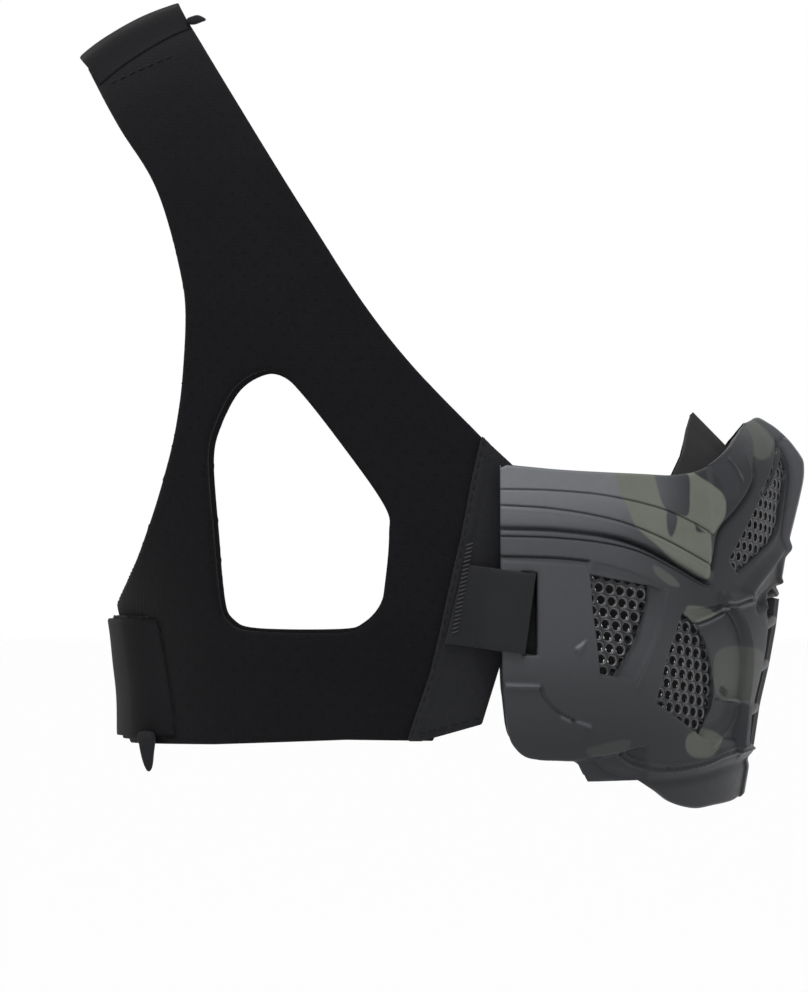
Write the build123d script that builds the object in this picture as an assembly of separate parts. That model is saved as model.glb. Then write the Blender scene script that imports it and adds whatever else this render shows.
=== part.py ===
from build123d import *
import math
import os

# A half-face field mask: a rigid vented shell for nose, cheeks and chin, held by a two-sided head harness.
# Frame, millimetres: +Z up, the face looks along -Y, +X is the wearer's left. The origin is the centre of
# the wearer's head, midway between the two ear openings. Every left piece mirrors its right piece in X.

# ---- driving dimensions of the shell ----
SHELL_REAR_Y = -59.6
SHELL_HALF_WIDTH = 79.0
SHELL_WALL = 2.6
SECTION_POWER = 1.7  # of the superellipse that each level section follows
SECTION_STEPS = 8  # spline spans from a rear edge to the nose line
# level: the foremost y of the shell's wall, and its half width as a share of SHELL_HALF_WIDTH
SHELL_LEVELS = {
    -95.0: (-131.8, 0.82),
    -87.0: (-133.0, 0.87),
    -76.0: (-135.0, 0.92),
    -61.0: (-137.0, 0.96),
    -49.0: (-139.6, 0.985),
    -26.0: (-142.8, 1.0),
    -12.0: (-144.6, 1.0),
    0.0: (-146.6, 1.0),
    7.0: (-147.5, 1.0),
    11.0: (-147.0, 1.0),
    16.0: (-144.7, 1.0),
    21.0: (-141.1, 1.0),
    26.0: (-135.5, 1.0),
    30.0: (-130.0, 1.0),
}
# how far the nose ridge stands out of that wall, level by level, where RIDGE_SPAN keeps it
RIDGE_RISE = (0.6, 0.6, 0.6, 0.6, 0.6, 1.4, 2.2, 3.3, 3.8, 4.0, 2.3, 1.3, 0.3, 0.0)
RIDGE_SPAN = (-27.0, 27.0)
RIDGE_HALF = 6.6
# the shell's outline seen from the side, as (y, z)
SHELL_TOP_REAR = (-59.0, 10.6)
CHEEK_TOP = [(-75.0, 9.3), (-102.0, 7.9), (-112.0, 7.4)]
NOSE_SWEEP = [(-120.0, 8.9), (-126.2, 12.8), (-130.4, 17.4), (-133.6, 23.6)]
NOSE_TOP = [(-134.6, 25.0), (-160.0, 25.0)]
CHIN = [(-160.0, -87.8), (-133.4, -87.8), (-130.1, -90.0), (-118.0, -92.0), (-111.3, -90.2), (-102.0, -83.8)]
JAW_LIP = [(-86.7, -84.2), (-82.5, -78.2), (-71.4, -77.2)]
JAW_CORNER = (-59.0, -76.6)
TOP_CORNER_R = 2.6
JAW_CORNER_R = 9.0

# ---- openings in the shell, as (y, z) ----
REAR_WINDOW = [(-86.4, -21.9), (-104.4, -25.4), (-102.6, -36.0), (-94.2, -52.5), (-89.5, -51.6)]
CHEEK_WINDOW_ARC = [(-114.3, -33.0), (-120.8, -40.7), (-124.0, -53.0), (-123.0, -64.1), (-119.8, -70.4)]
CHEEK_WINDOW_LOW = (-106.4, -60.3)
NOSE_WINDOW = [(-143.6, 12.7), (-144.4, 9.1), (-142.2, -10.2), (-131.1, -22.2), (-128.1, -17.8)]
NOSE_RIDGE_HALF = 7.0
MOUTH_TOP, MOUTH_FOOT, MOUTH_HALF = -28.0, -74.0, 15.0
BEAD_LEVELS = (-36.0, -49.0, -62.0)
SLOT_Y, SLOT_Z = -68.3, -33.6
SLOT_WIDE, SLOT_LONG = 4.8, 25.4

# ---- the head that the harness wraps: level sections are ellipses, (centre y, half length, half width) ----
HEAD_SECTIONS = {
    -92.0: (-32.0, 80.5, 62.0),
    -60.0: (-32.0, 80.5, 67.5),
    -33.0: (-30.5, 81.5, 73.5),
    0.0: (-22.0, 88.5, 77.0),
    30.0: (-14.0, 95.0, 78.0),
}
DOME_Z, DOME_HEIGHT, DOME_POWER = 55.0, 93.5, 2.4
DOME = (-9.0, 98.0, 78.0)
DOME_STEPS = 9

# ---- harness, layers as distances outside the head ----
PANEL_LAYER = (0.5, 2.9)
TRIM_LAYER = (3.1, 4.3)
PATCH_LAYER = (3.1, 3.7)
TAB_LAYER = (4.9, 6.7)
HOOK_LAYER = (4.2, 4.8)
STRAP_WIDE, STRAP_THICK = 24.0, 1.0
STRAP_TILT = 7.0  # degrees that the strap leans in its slot at rest
STRAP_CLEAR = 0.5
SWING_Y = -56.0
CROWN_END_RIGHT, CROWN_END_LEFT = 6.0, 8.0
NAPE_END_RIGHT, NAPE_END_LEFT = 6.0, 8.0
TAB_ROOT, TAB_REACH = 12.0, 33.0

# ---- perforated sheets and their fixings ----
MESH_INSET, MESH_THICK = 2.9, 0.8  # the inset is from the shell's outer face
MESH_MARGIN = 3.6
HOLE_PITCH, HOLE_RADIUS = 4.2, 1.5
SCREW_HEAD_R, SCREW_HEAD_H = 1.7, 0.9
SCREW_SHANK_R, SCREW_SHANK_L = 0.8, 2.9
# each window's outward direction as (degrees turned forward, degrees tilted down), and its screws as (y, z)
WINDOW_FACING = {"rear": (37.0, 0.0), "cheek": (46.0, 12.0), "nose": (64.0, 0.0)}
WINDOW_SCREWS = {
    "rear": [(-85.0, -19.3), (-106.2, -23.6), (-90.6, -54.8)],
    "cheek": [(-112.8, -29.6), (-103.4, -61.2), (-120.6, -73.6)],
    "nose": [(-141.2, 13.6), (-126.2, -15.6)],
}

PARTS = {}


def keep(name, shape):
    """Stores one sub-part under its node name."""
    PARTS[name] = shape


def solid_of(shape):
    """The shape as one Part, whatever list or compound a boolean gave."""
    solids = shape.solids()
    return solids[0] if len(solids) == 1 else Compound(children=list(solids))


def side_prism(wire_points, x0, x1, corner_r=None, closed_spline=False):
    """A prism along X between x0 and x1 whose outline is given as (y, z) points."""
    points = [Vector(x0, y, z) for y, z in wire_points]
    wire = Wire.make_polygon(points, close=True)
    face = Face(wire)
    return Solid.extrude(face, Vector(x1 - x0, 0, 0))


def spline_prism(edges, x0, x1):
    """A prism along X from edges that already form a closed outline in the plane x = x0."""
    return Solid.extrude(Face(Wire(edges)), Vector(x1 - x0, 0, 0))


def line(x, a, b):
    return Edge.make_line(Vector(x, *a), Vector(x, *b))


def curve(x, points):
    return Edge.make_spline([Vector(x, *p) for p in points])


def mirrored(shape):
    return shape.mirror(Plane.YZ)


# ---------------------------------------------------------------- the shell


def section_point(width, front_y, angle):
    """A point of a level section: angle runs from 0 at the rear edge to 90 degrees at the nose line."""
    share = 2.0 / SECTION_POWER
    x = width * math.cos(angle) ** share
    y = SHELL_REAR_Y + (front_y - SHELL_REAR_Y) * math.sin(angle) ** share
    return x, y


def section_wire(z, inset=0.0, reach=0.0, wall=SHELL_WALL, rise=0.0):
    """The closed U section of the shell's wall at one level; inset and reach move its faces inwards."""
    front_y, share = SHELL_LEVELS[z]
    front_y -= rise
    outer, inner = [], []
    for move, line_points in ((inset, outer), (inset + wall + reach, inner)):
        width = SHELL_HALF_WIDTH * share - move
        front = front_y + move
        half = []
        for i in range(SECTION_STEPS + 1):
            angle = math.pi / 2 * i / SECTION_STEPS
            half.append(section_point(width, front, angle))
        line_points += [(-x, y) for x, y in half] + [(x, y) for x, y in reversed(half[:-1])]
    a = Edge.make_spline([Vector(x, y, z) for x, y in outer])
    b = Edge.make_spline([Vector(x, y, z) for x, y in reversed(inner)])
    right = Edge.make_line(b.position_at(1), a.position_at(0))
    left = Edge.make_line(a.position_at(1), b.position_at(0))
    return Wire([a, left, b, right])


def shell_wall(inset=0.0, wall=SHELL_WALL):
    """The curved wall through every level, before it is trimmed to the outline."""
    return Solid.make_loft([section_wire(z, inset=inset, wall=wall) for z in SHELL_LEVELS])


def nose_ridge():
    """The raised ridge down the nose, rooted in the wall."""
    levels = zip(SHELL_LEVELS, RIDGE_RISE)
    raised = Solid.make_loft([section_wire(z, wall=7.0, rise=rise) for z, rise in levels])
    return (raised & slab(RIDGE_HALF, *RIDGE_SPAN)) - shell_wall(inset=1.4, wall=14.0)


def shell_outline():
    """A prism with the mask's side outline, as wide as the mask."""
    x = -100.0
    rear_top = (SHELL_TOP_REAR[0], SHELL_TOP_REAR[1] - TOP_CORNER_R)
    top_rear = (SHELL_TOP_REAR[0] - TOP_CORNER_R, SHELL_TOP_REAR[1])
    jaw_front = (JAW_CORNER[0] - JAW_CORNER_R, JAW_CORNER[1])
    jaw_rear = (JAW_CORNER[0], JAW_CORNER[1] + JAW_CORNER_R)
    diagonal = math.sqrt(0.5)
    top_mid = (rear_top[0] - TOP_CORNER_R * (1 - diagonal), top_rear[1] - TOP_CORNER_R * (1 - diagonal))
    jaw_mid = (jaw_rear[0] - JAW_CORNER_R * (1 - diagonal), jaw_front[1] + JAW_CORNER_R * (1 - diagonal))
    edges = [
        line(x, jaw_rear, rear_top),
        Edge.make_three_point_arc(Vector(x, *rear_top), Vector(x, *top_mid), Vector(x, *top_rear)),
        curve(x, [top_rear, *CHEEK_TOP, *NOSE_SWEEP, NOSE_TOP[0]]),
        line(x, NOSE_TOP[0], NOSE_TOP[1]),
    ]
    rest = [NOSE_TOP[1], *CHIN, *JAW_LIP, jaw_front]
    edges += [line(x, a, b) for a, b in zip(rest, rest[1:])]
    edges.append(Edge.make_three_point_arc(Vector(x, *jaw_front), Vector(x, *jaw_mid), Vector(x, *jaw_rear)))
    return spline_prism(edges, x, -x)


def window_prism(name, x0, x1):
    """The prism of one window of the right side, along X."""
    if name == "rear":
        return side_prism(REAR_WINDOW, x0, x1)
    if name == "nose":
        return side_prism(NOSE_WINDOW, x0, x1)
    edges = [
        curve(x0, CHEEK_WINDOW_ARC),
        line(x0, CHEEK_WINDOW_ARC[-1], CHEEK_WINDOW_LOW),
        line(x0, CHEEK_WINDOW_LOW, CHEEK_WINDOW_ARC[0]),
    ]
    return spline_prism(edges, x0, x1)


def slot_prism(x0, x1):
    half_w, half_l = SLOT_WIDE / 2, SLOT_LONG / 2
    box = Box(x1 - x0, SLOT_WIDE, SLOT_LONG)
    return Pos((x0 + x1) / 2, SLOT_Y, SLOT_Z) * box


def screw(y, z, facing, grow=0.0):
    """A pan-head screw into the wall's inner face at (y, z), driven outwards along a window's direction."""
    turn, down = (math.radians(v) for v in facing)
    out = Vector(-math.cos(turn) * math.cos(down), -math.sin(turn) * math.cos(down), -math.sin(down))
    seat = Vector(-inner_x(y, z), y, z) - out * (MESH_INSET - SHELL_WALL + MESH_THICK + 0.2)
    plane = Plane(origin=seat, z_dir=out)
    shank = Pos(0, 0, SCREW_SHANK_L / 2) * Cylinder(SCREW_SHANK_R + grow, SCREW_SHANK_L)
    head = Pos(0, 0, -SCREW_HEAD_H / 2) * Cylinder(SCREW_HEAD_R, SCREW_HEAD_H)
    socket = Pos(0, 0, -SCREW_HEAD_H) * Box(2.2, 0.5, 0.8) + Pos(0, 0, -SCREW_HEAD_H) * Box(0.5, 2.2, 0.8)
    return plane.location * (shank if grow else shank + head - socket)


def window_screws(name, grow=0.0):
    return [screw(y, z, WINDOW_FACING[name], grow) for y, z in WINDOW_SCREWS[name]]


def face_shell():
    shell = (shell_wall() + nose_ridge()) & shell_outline()
    cuts = [slot_prism(-90.0, -60.0)]
    for name in WINDOW_FACING:
        cuts.append(window_prism(name, -100.0, -NOSE_RIDGE_HALF))
        cuts += window_screws(name, grow=0.05)
    cuts += [mirrored(cut) for cut in cuts]
    mouth_height = MOUTH_TOP - MOUTH_FOOT
    cuts.append(Pos(0, -140.0, (MOUTH_TOP + MOUTH_FOOT) / 2) * Box(2 * MOUTH_HALF, 40.0, mouth_height))
    keep("face_shell", solid_of(shell - cuts))


# ---------------------------------------------------------------- perforated sheets


def inner_x(y, z):
    """The half width of the shell's inner face at (y, z)."""
    levels = sorted(SHELL_LEVELS)
    upper = next(v for v in levels if v >= z)
    lower = max(v for v in levels if v <= z)
    t = 0.0 if upper == lower else (z - lower) / (upper - lower)
    front = (1 - t) * SHELL_LEVELS[lower][0] + t * SHELL_LEVELS[upper][0]
    share = (1 - t) * SHELL_LEVELS[lower][1] + t * SHELL_LEVELS[upper][1]
    width = SHELL_HALF_WIDTH * share - SHELL_WALL
    depth = (SHELL_REAR_Y - y) / (SHELL_REAR_Y - front - SHELL_WALL)
    return width * max(0.0, 1 - depth**SECTION_POWER) ** (1 / SECTION_POWER)


def inside(outline, y, z, margin):
    """True if (y, z) is inside the outline and at least margin from its sides."""
    within = False
    for (y0, z0), (y1, z1) in zip(outline, outline[1:] + outline[:1]):
        if (z0 > z) != (z1 > z) and y < (y1 - y0) * (z - z0) / (z1 - z0) + y0:
            within = not within
        length = math.hypot(y1 - y0, z1 - z0)
        t = max(0.0, min(1.0, ((y - y0) * (y1 - y0) + (z - z0) * (z1 - z0)) / length**2))
        if math.hypot(y - y0 - t * (y1 - y0), z - z0 - t * (z1 - z0)) < margin:
            return False
    return within


def grown(outline, amount):
    """The outline moved outwards from its middle by about amount."""
    cy = sum(p[0] for p in outline) / len(outline)
    cz = sum(p[1] for p in outline) / len(outline)
    out = []
    for y, z in outline:
        d = math.hypot(y - cy, z - cz)
        out.append((y + (y - cy) / d * amount, z + (z - cz) / d * amount))
    return out


def holes(outline, facing, centre):
    """Round holes on a staggered pitch along a window's direction, where their axes cross the outline."""
    turn, down = (math.radians(v) for v in facing)
    out = Vector(-math.cos(turn) * math.cos(down), -math.sin(turn) * math.cos(down), -math.sin(down))
    plane = Plane(origin=centre, x_dir=Vector(0, 0, 1).cross(out), z_dir=out)
    found = []
    row_step = HOLE_PITCH * math.sqrt(3) / 2
    for row in range(-8, 9):
        for column in range(-8, 9):
            local = Vector((column + 0.5 * (row % 2)) * HOLE_PITCH, row * row_step, 0)
            point = plane.from_local_coords(local)
            if inside(outline, point.Y, point.Z, HOLE_RADIUS * 0.9):
                found.append(Plane(origin=point, z_dir=out).location * Cylinder(HOLE_RADIUS, 24.0))
    return found


def perforated_sheets():
    """The perforated sheets behind the windows, each curved to the wall's inner face, and their screws."""
    wall = shell_wall(inset=MESH_INSET, wall=MESH_THICK) & shell_outline()
    outlines = {"rear": REAR_WINDOW, "cheek": [*CHEEK_WINDOW_ARC, CHEEK_WINDOW_LOW], "nose": NOSE_WINDOW}
    screws = []
    for name, outline in outlines.items():
        wide = grown(outline, MESH_MARGIN)
        cy = sum(p[0] for p in outline) / len(outline)
        cz = sum(p[1] for p in outline) / len(outline)
        centre = Vector(-inner_x(cy, cz), cy, cz)
        sheet = wall & side_prism(wide, -100.0, -NOSE_RIDGE_HALF + 1.0)
        sheet = sheet - holes(outline, WINDOW_FACING[name], centre) - window_screws(name, grow=0.05)
        keep(f"right_{name}_mesh", solid_of(sheet))
        keep(f"left_{name}_mesh", solid_of(mirrored(PARTS[f"right_{name}_mesh"])))
        screws += window_screws(name)
    keep("right_mesh_screws", Compound(children=screws))
    keep("left_mesh_screws", Compound(children=[mirrored(s) for s in screws]))


# ---------------------------------------------------------------- mouth grille and its mesh


def slab(half_width, z0, z1):
    """A box over the front of the mask, between two levels."""
    return Pos(0, -130.0, (z0 + z1) / 2) * Box(2 * half_width, 80.0, z1 - z0)


def mouth_grille():
    """The keel and cross beads that fill the mouth opening, on a frame that clips behind its rim."""
    rim = shell_wall(inset=SHELL_WALL + 0.3, wall=1.4)
    ring = slab(MOUTH_HALF + 3.5, MOUTH_FOOT - 3.5, MOUTH_TOP + 3.5)
    frame = rim & (ring - slab(MOUTH_HALF - 2.6, MOUTH_FOOT + 3.0, MOUTH_TOP - 3.0))
    bars = shell_wall(inset=-0.8, wall=5.1)
    keel = bars & slab(3.6, MOUTH_FOOT + 0.4, MOUTH_TOP - 0.4)
    grille = frame + keel
    for z in BEAD_LEVELS:
        grille = grille + (bars & slab(MOUTH_HALF - 0.4, z - 1.5, z + 1.5))
    keep("mouth_grille", solid_of(grille))


def mouth_mesh():
    """The perforated sheet behind the mouth grille."""
    wall = shell_wall(inset=SHELL_WALL + 2.0, wall=MESH_THICK)
    sheet = wall & slab(MOUTH_HALF + 3.0, MOUTH_FOOT - 3.0, MOUTH_TOP + 3.0)
    drills = []
    row_step = HOLE_PITCH * math.sqrt(3) / 2
    rows = int((MOUTH_TOP - MOUTH_FOOT) / row_step)
    for row in range(rows + 1):
        z = MOUTH_FOOT + row_step * (row + 0.25)
        for column in range(-3, 4):
            x = (column + 0.5 * (row % 2)) * HOLE_PITCH
            if abs(x) < MOUTH_HALF - HOLE_RADIUS:
                drills.append(Pos(x, -130.0, z) * Rot(90, 0, 0) * Cylinder(HOLE_RADIUS, 60.0))
    keep("mouth_mesh", solid_of(sheet - drills))


# ---------------------------------------------------------------- liner and pads


def nose_saddle():
    """The soft saddle that rides the bridge of the nose: a bent sheet whose ridge runs down and forward."""
    thick, run = 1.6, Vector(0, -13.0, -13.0)
    # half of the bend, as (x, share of the rise from foot to ridge)
    bend = [(25.0, 0.0), (18.5, 0.36), (9.0, 0.76), (0.0, 1.0)]
    foot, ridge = Vector(0, -111.0, 4.6), Vector(0, -117.4, 26.4)
    up = (ridge - foot).normalized()
    top = [foot + (ridge - foot) * t + Vector(x, 0, 0) for x, t in bend]
    top += [Vector(-p.X, p.Y, p.Z) for p in reversed(top[:-1])]
    low = [Vector(p.X * 0.95, p.Y, p.Z) - up * thick for p in reversed(top)]
    edges = [Edge.make_spline(top), Edge.make_line(top[-1], low[0])]
    edges += [Edge.make_spline(low), Edge.make_line(low[-1], top[0])]
    keep("nose_saddle", solid_of(Solid.extrude(Face(Wire(edges)), run)))


def pad(name, outline, near, far):
    """A foam pad on the shell's inner face: the wall between two insets, cut to an outline in (y, z)."""
    wall = shell_wall(inset=near, wall=far - near)
    right = wall & side_prism(outline, -100.0, -1.0)
    keep("right_" + name, solid_of(right))
    keep("left_" + name, solid_of(mirrored(right)))


def pads():
    pad("cheek_pad", [(-78.0, 4.0), (-108.0, 3.0), (-108.0, -12.0), (-78.0, -12.0)], 2.9, 8.9)
    chin_wall = shell_wall(inset=2.9, wall=6.0)
    low, high = -86.5, -78.6
    box = Pos(0, -125.0, (low + high) / 2) * Box(50.0, 34.0, high - low)
    keep("chin_pad", solid_of(chin_wall & box))


# ---------------------------------------------------------------- harness layers


def head_wire(z, centre, length, width, grow):
    plane = Plane(origin=(0, centre, z), x_dir=(0, 1, 0), z_dir=(0, 0, 1))
    return Wire.make_ellipse(length + grow, width + grow, plane)


def head_solid(grow):
    """The head grown outwards by a distance, from neck to crown."""
    wires = [head_wire(z, *HEAD_SECTIONS[z], grow) for z in sorted(HEAD_SECTIONS)]
    centre, length, width = DOME
    power = 2.0 / DOME_POWER
    for i in range(DOME_STEPS):
        angle = math.radians(84.0) * i / (DOME_STEPS - 1)
        shrink = math.cos(angle) ** power
        z = DOME_Z + (DOME_HEIGHT + grow) * math.sin(angle) ** power
        plane = Plane(origin=(0, centre, z), x_dir=(0, 1, 0), z_dir=(0, 0, 1))
        wires.append(Wire.make_ellipse((length + grow) * shrink, (width + grow) * shrink, plane))
    return Solid.make_loft(wires)


LAYERS = {}


def layer(bounds):
    """The shell of space between two distances outside the head, made once for each pair."""
    if bounds not in LAYERS:
        LAYERS[bounds] = head_solid(bounds[1]) - head_solid(bounds[0])
    return LAYERS[bounds]


CROWN_EDGE_FRONT = [(-54.0, 18.9), (-35.1, 38.3), (-19.8, 57.4), (-4.5, 81.1), (10.8, 105.6), (36.6, 148.5)]
CROWN_TIP_FRONT, CROWN_TIP_REAR = (44.0, 161.0), (73.0, 146.0)
REAR_EDGE = [(65.1, 131.8), (54.4, 112.0), (42.9, 93.4), (35.6, 69.0), (33.7, 50.0), (37.6, 17.0), (48.0, -15.0), (56.2, -32.5)]
NAPE_FOOT = -73.0
PANEL_FOOT_FRONT = (-40.0, -71.4)
PANEL_FRONT_LOW = (-59.5, 13.0)
PANEL_FRONT_TOP = (-54.0, 18.9)
EAR_HOLE = [(10.8, 38.3), (19.5, 33.6), (26.4, 20.5), (27.3, 13.0), (24.3, -30.0), (18.4, -38.4), (-13.7, -39.0)]
EAR_HOLE += [(-23.0, -34.0), (-25.2, -26.0), (-26.6, -9.0), (-24.6, -1.0), (-10.7, 18.4), (2.0, 33.6)]


def panel_prism(x0, x1):
    """The side panel's outline as a prism along X, without its ear opening."""
    edges = [
        curve(x0, [PANEL_FRONT_TOP, *CROWN_EDGE_FRONT[1:]]),
        line(x0, CROWN_EDGE_FRONT[-1], CROWN_TIP_FRONT),
        line(x0, CROWN_TIP_FRONT, CROWN_TIP_REAR),
        line(x0, CROWN_TIP_REAR, REAR_EDGE[0]),
        curve(x0, REAR_EDGE),
        line(x0, REAR_EDGE[-1], (75.0, -32.5)),
        line(x0, (75.0, -32.5), (75.0, NAPE_FOOT)),
        line(x0, (75.0, NAPE_FOOT), PANEL_FOOT_FRONT),
        line(x0, PANEL_FOOT_FRONT, PANEL_FRONT_LOW),
        line(x0, PANEL_FRONT_LOW, PANEL_FRONT_TOP),
    ]
    return spline_prism(edges, x0, x1)


def ear_prism(x0, x1):
    return spline_prism([curve(x0, [*EAR_HOLE, EAR_HOLE[0]])], x0, x1)


def side_panel(side_name, crown_end, nape_end):
    """One neoprene side panel, with its crown arm and nape arm ending just past the middle plane."""
    body = layer(PANEL_LAYER) & panel_prism(-100.0, crown_end)
    body = body - ear_prism(-100.0, -40.0)
    body = body - Pos(50.0 + nape_end, 60.0, -50.0) * Box(100.0, 120.0, 80.0)
    return solid_of(body)


def front_trim():
    """The woven trim sewn over the panel's front edge, with a flap that runs on inside the shell."""
    outline = [(-54.0, 18.9), (-63.6, 10.4), (-66.6, 5.6), (-66.8, -12.0), (-64.6, -36.0), (-59.6, -49.0)]
    outline += [(-54.3, -66.6), (-36.4, -71.6), (-32.0, -71.2)]
    return solid_of(layer(TRIM_LAYER) & side_prism(outline, -100.0, -30.0))


def arm_patch(outline, x0, x1, bounds):
    return solid_of(layer(bounds) & side_prism(outline, x0, x1))


CROWN_BAND = [(19.0, 117.0), (37.0, 146.5), (44.0, 161.0), (77.0, 144.0), (63.4, 130.2), (49.0, 104.5)]
CROWN_TAB = [(18.0, 118.0), (35.8, 147.6), (44.0, 166.0), (80.0, 148.0), (65.2, 129.4), (50.0, 103.5)]
CROWN_PULL = [(26.9, 133.0), (35.6, 147.7), (35.6, 153.0), (26.9, 153.0)]
NAPE_BAND = [(20.0, -34.5), (75.0, -34.5), (75.0, -71.4), (20.0, -71.4)]
NAPE_TAB = [(20.0, -35.5), (75.0, -35.5), (75.0, -70.4), (20.0, -70.4)]
NAPE_PULL = [(36.0, -70.5), (54.0, -70.5), (54.0, -80.4), (36.0, -80.4)]
PULL_WIDE = 9.0


def strap_profile(points):
    """A strap piece from its plan outline in (x, y), as wide as the strap, leaning as it does at rest."""
    face = Face(Wire.make_polygon([Vector(x, y, -STRAP_WIDE / 2) for x, y in points], close=True))
    raw = Solid.extrude(face, Vector(0, 0, STRAP_WIDE))
    raw = Pos(0, -SLOT_Y, 0) * raw
    return Pos(0, SLOT_Y, SLOT_Z) * Rot(STRAP_TILT, 0, 0) * raw


def straps():
    """Each cheek strap: its fold through the slot, its free run, and the end sewn to the trim."""
    t = STRAP_THICK
    out_x = SHELL_HALF_WIDTH + STRAP_CLEAR
    seam_x = out_x - 1.5
    rear = -61.0
    # plan points of the face that touches the shell: in front of the slot, then back along the inside
    in_rear = SHELL_HALF_WIDTH - SHELL_WALL - 1.8
    in_front = in_rear - 1.0
    face = [(out_x, rear), (out_x, SLOT_Y + t / 2), (in_front, SLOT_Y + t / 2), (in_rear, rear)]
    back = [(in_rear - t, rear), (in_front - t, SLOT_Y - t / 2), (out_x + t, SLOT_Y - t / 2), (out_x + t, rear)]
    fold = [(-x, y) for x, y in face + back]
    run_near, run_far = rear + 0.2, SWING_Y - 0.2
    run_x = [(out_x, run_near), (out_x, -58.4), (seam_x, run_far)]
    run = [(-x, y) for x, y in run_x] + [(-x - t, y) for x, y in reversed(run_x)]
    base_x = [(seam_x, SWING_Y + 0.2), (seam_x - 0.2, -52.0), (seam_x + 0.9, -45.0)]
    base = [(-x, y) for x, y in base_x] + [(-x - t, y) for x, y in reversed(base_x)]
    for name, points in {"strap_fold": fold, "strap_run": run, "strap_base": base}.items():
        piece = strap_profile(points)
        keep("right_" + name, solid_of(piece))
        keep("left_" + name, solid_of(mirrored(piece)))


def harness():
    right = side_panel("right", CROWN_END_RIGHT, NAPE_END_RIGHT)
    left = mirrored(side_panel("left", -CROWN_END_LEFT, -NAPE_END_LEFT))
    keep("right_side_panel", right)
    keep("left_side_panel", left)
    trim = front_trim()
    keep("right_front_trim", trim)
    keep("left_front_trim", solid_of(mirrored(trim)))
    keep("crown_loop_patch", arm_patch(CROWN_BAND, -TAB_REACH + 1.0, CROWN_END_RIGHT - 1.0, PATCH_LAYER))
    keep("nape_loop_patch", arm_patch(NAPE_BAND, -TAB_REACH - 6.0, NAPE_END_RIGHT - 1.0, PATCH_LAYER))
    keep("crown_tab", arm_patch(CROWN_TAB, -TAB_REACH, TAB_ROOT, TAB_LAYER))
    keep("nape_tab", arm_patch(NAPE_TAB, -TAB_REACH - 8.0, TAB_ROOT, TAB_LAYER))
    keep("crown_hook_patch", arm_patch(CROWN_BAND, -TAB_REACH + 1.0, CROWN_END_RIGHT - 2.0, HOOK_LAYER))
    keep("nape_hook_patch", arm_patch(NAPE_BAND, -TAB_REACH - 6.0, NAPE_END_RIGHT - 2.0, HOOK_LAYER))
    pull_start = -TAB_REACH + 1.0
    keep("crown_pull_tab", arm_patch(CROWN_PULL, pull_start, pull_start + PULL_WIDE, TAB_LAYER))
    keep("nape_pull_tab", arm_patch(NAPE_PULL, pull_start - 4.0, pull_start - 4.0 + PULL_WIDE, TAB_LAYER))


def main():
    os.makedirs("parts", exist_ok=True)
    face_shell()
    perforated_sheets()
    mouth_grille()
    mouth_mesh()
    nose_saddle()
    pads()
    harness()
    straps()
    for name, shape in PARTS.items():
        export_step(shape, f"parts/{name}.step")


main()
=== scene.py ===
import math
from contextlib import contextmanager

import bmesh
import bpy
import numpy as np
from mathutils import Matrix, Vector
from mathutils.kdtree import KDTree


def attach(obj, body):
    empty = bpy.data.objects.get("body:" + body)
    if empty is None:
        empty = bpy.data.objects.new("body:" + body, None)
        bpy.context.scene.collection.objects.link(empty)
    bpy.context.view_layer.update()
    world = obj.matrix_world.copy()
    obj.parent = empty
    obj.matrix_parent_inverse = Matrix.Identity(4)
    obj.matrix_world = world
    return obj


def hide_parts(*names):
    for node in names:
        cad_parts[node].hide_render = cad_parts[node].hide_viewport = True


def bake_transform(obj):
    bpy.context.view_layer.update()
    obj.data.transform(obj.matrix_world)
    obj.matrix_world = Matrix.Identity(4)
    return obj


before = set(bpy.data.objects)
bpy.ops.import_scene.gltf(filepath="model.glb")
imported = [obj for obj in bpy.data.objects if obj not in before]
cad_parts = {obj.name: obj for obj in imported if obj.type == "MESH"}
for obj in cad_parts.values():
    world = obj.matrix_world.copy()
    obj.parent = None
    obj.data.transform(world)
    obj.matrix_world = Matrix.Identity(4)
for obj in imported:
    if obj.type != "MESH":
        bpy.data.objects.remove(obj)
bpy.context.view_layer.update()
MM = 0.001

# Lengths in this script are millimetres until a mesh is made. Outlines are (y, z) seen from the side,
# the face looks along -Y, and "right" is the wearer's right, on the -X side.

# ------------------------------------------------------------------ the shell's surface
REAR_Y, WALL = -59.6, 2.5  # the shell's rear edge, and its thickness
POWER = 1.7  # of the superellipse that each level section is part of
# (z, foremost y, half width)
LEVELS = [(-95, -131.4, 64.8), (-87, -132.7, 68.7), (-76, -134.6, 72.7), (-61, -136.8, 75.8), (-49, -139.6, 77.8)]
LEVELS += [(-38, -141.6, 78.6), (-26, -143.0, 79.0), (-12, -144.8, 79.0), (0, -146.6, 79.0), (7, -147.5, 79.0)]
LEVELS += [(11, -147.0, 79.0), (16, -144.8, 79.0), (21, -141.2, 79.0), (26, -135.4, 79.0), (30, -130.0, 79.0)]
LEVEL_STEP = 0.5
_level_z = np.arange(-96.0, 31.0, LEVEL_STEP)


def blurred(values, reach, width):
    """Values along a line, each averaged with its neighbours up to reach steps away."""
    kernel = np.exp(-((np.arange(-reach, reach + 1) / width) ** 2))
    return np.convolve(np.pad(values, reach, mode="edge"), kernel / kernel.sum(), mode="valid")


_front, _half = (blurred(np.interp(_level_z, *np.array(LEVELS).T[[0, k]]), 8, 4.0) for k in (1, 2))
_angle = np.linspace(0, math.pi / 2, 500)
_cos_share, _sin_share = np.cos(_angle) ** (2 / POWER), np.sin(_angle) ** (2 / POWER)


def front_y(z):
    return np.interp(z, _level_z, _front)


def half_width(z):
    return np.interp(z, _level_z, _half)


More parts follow.
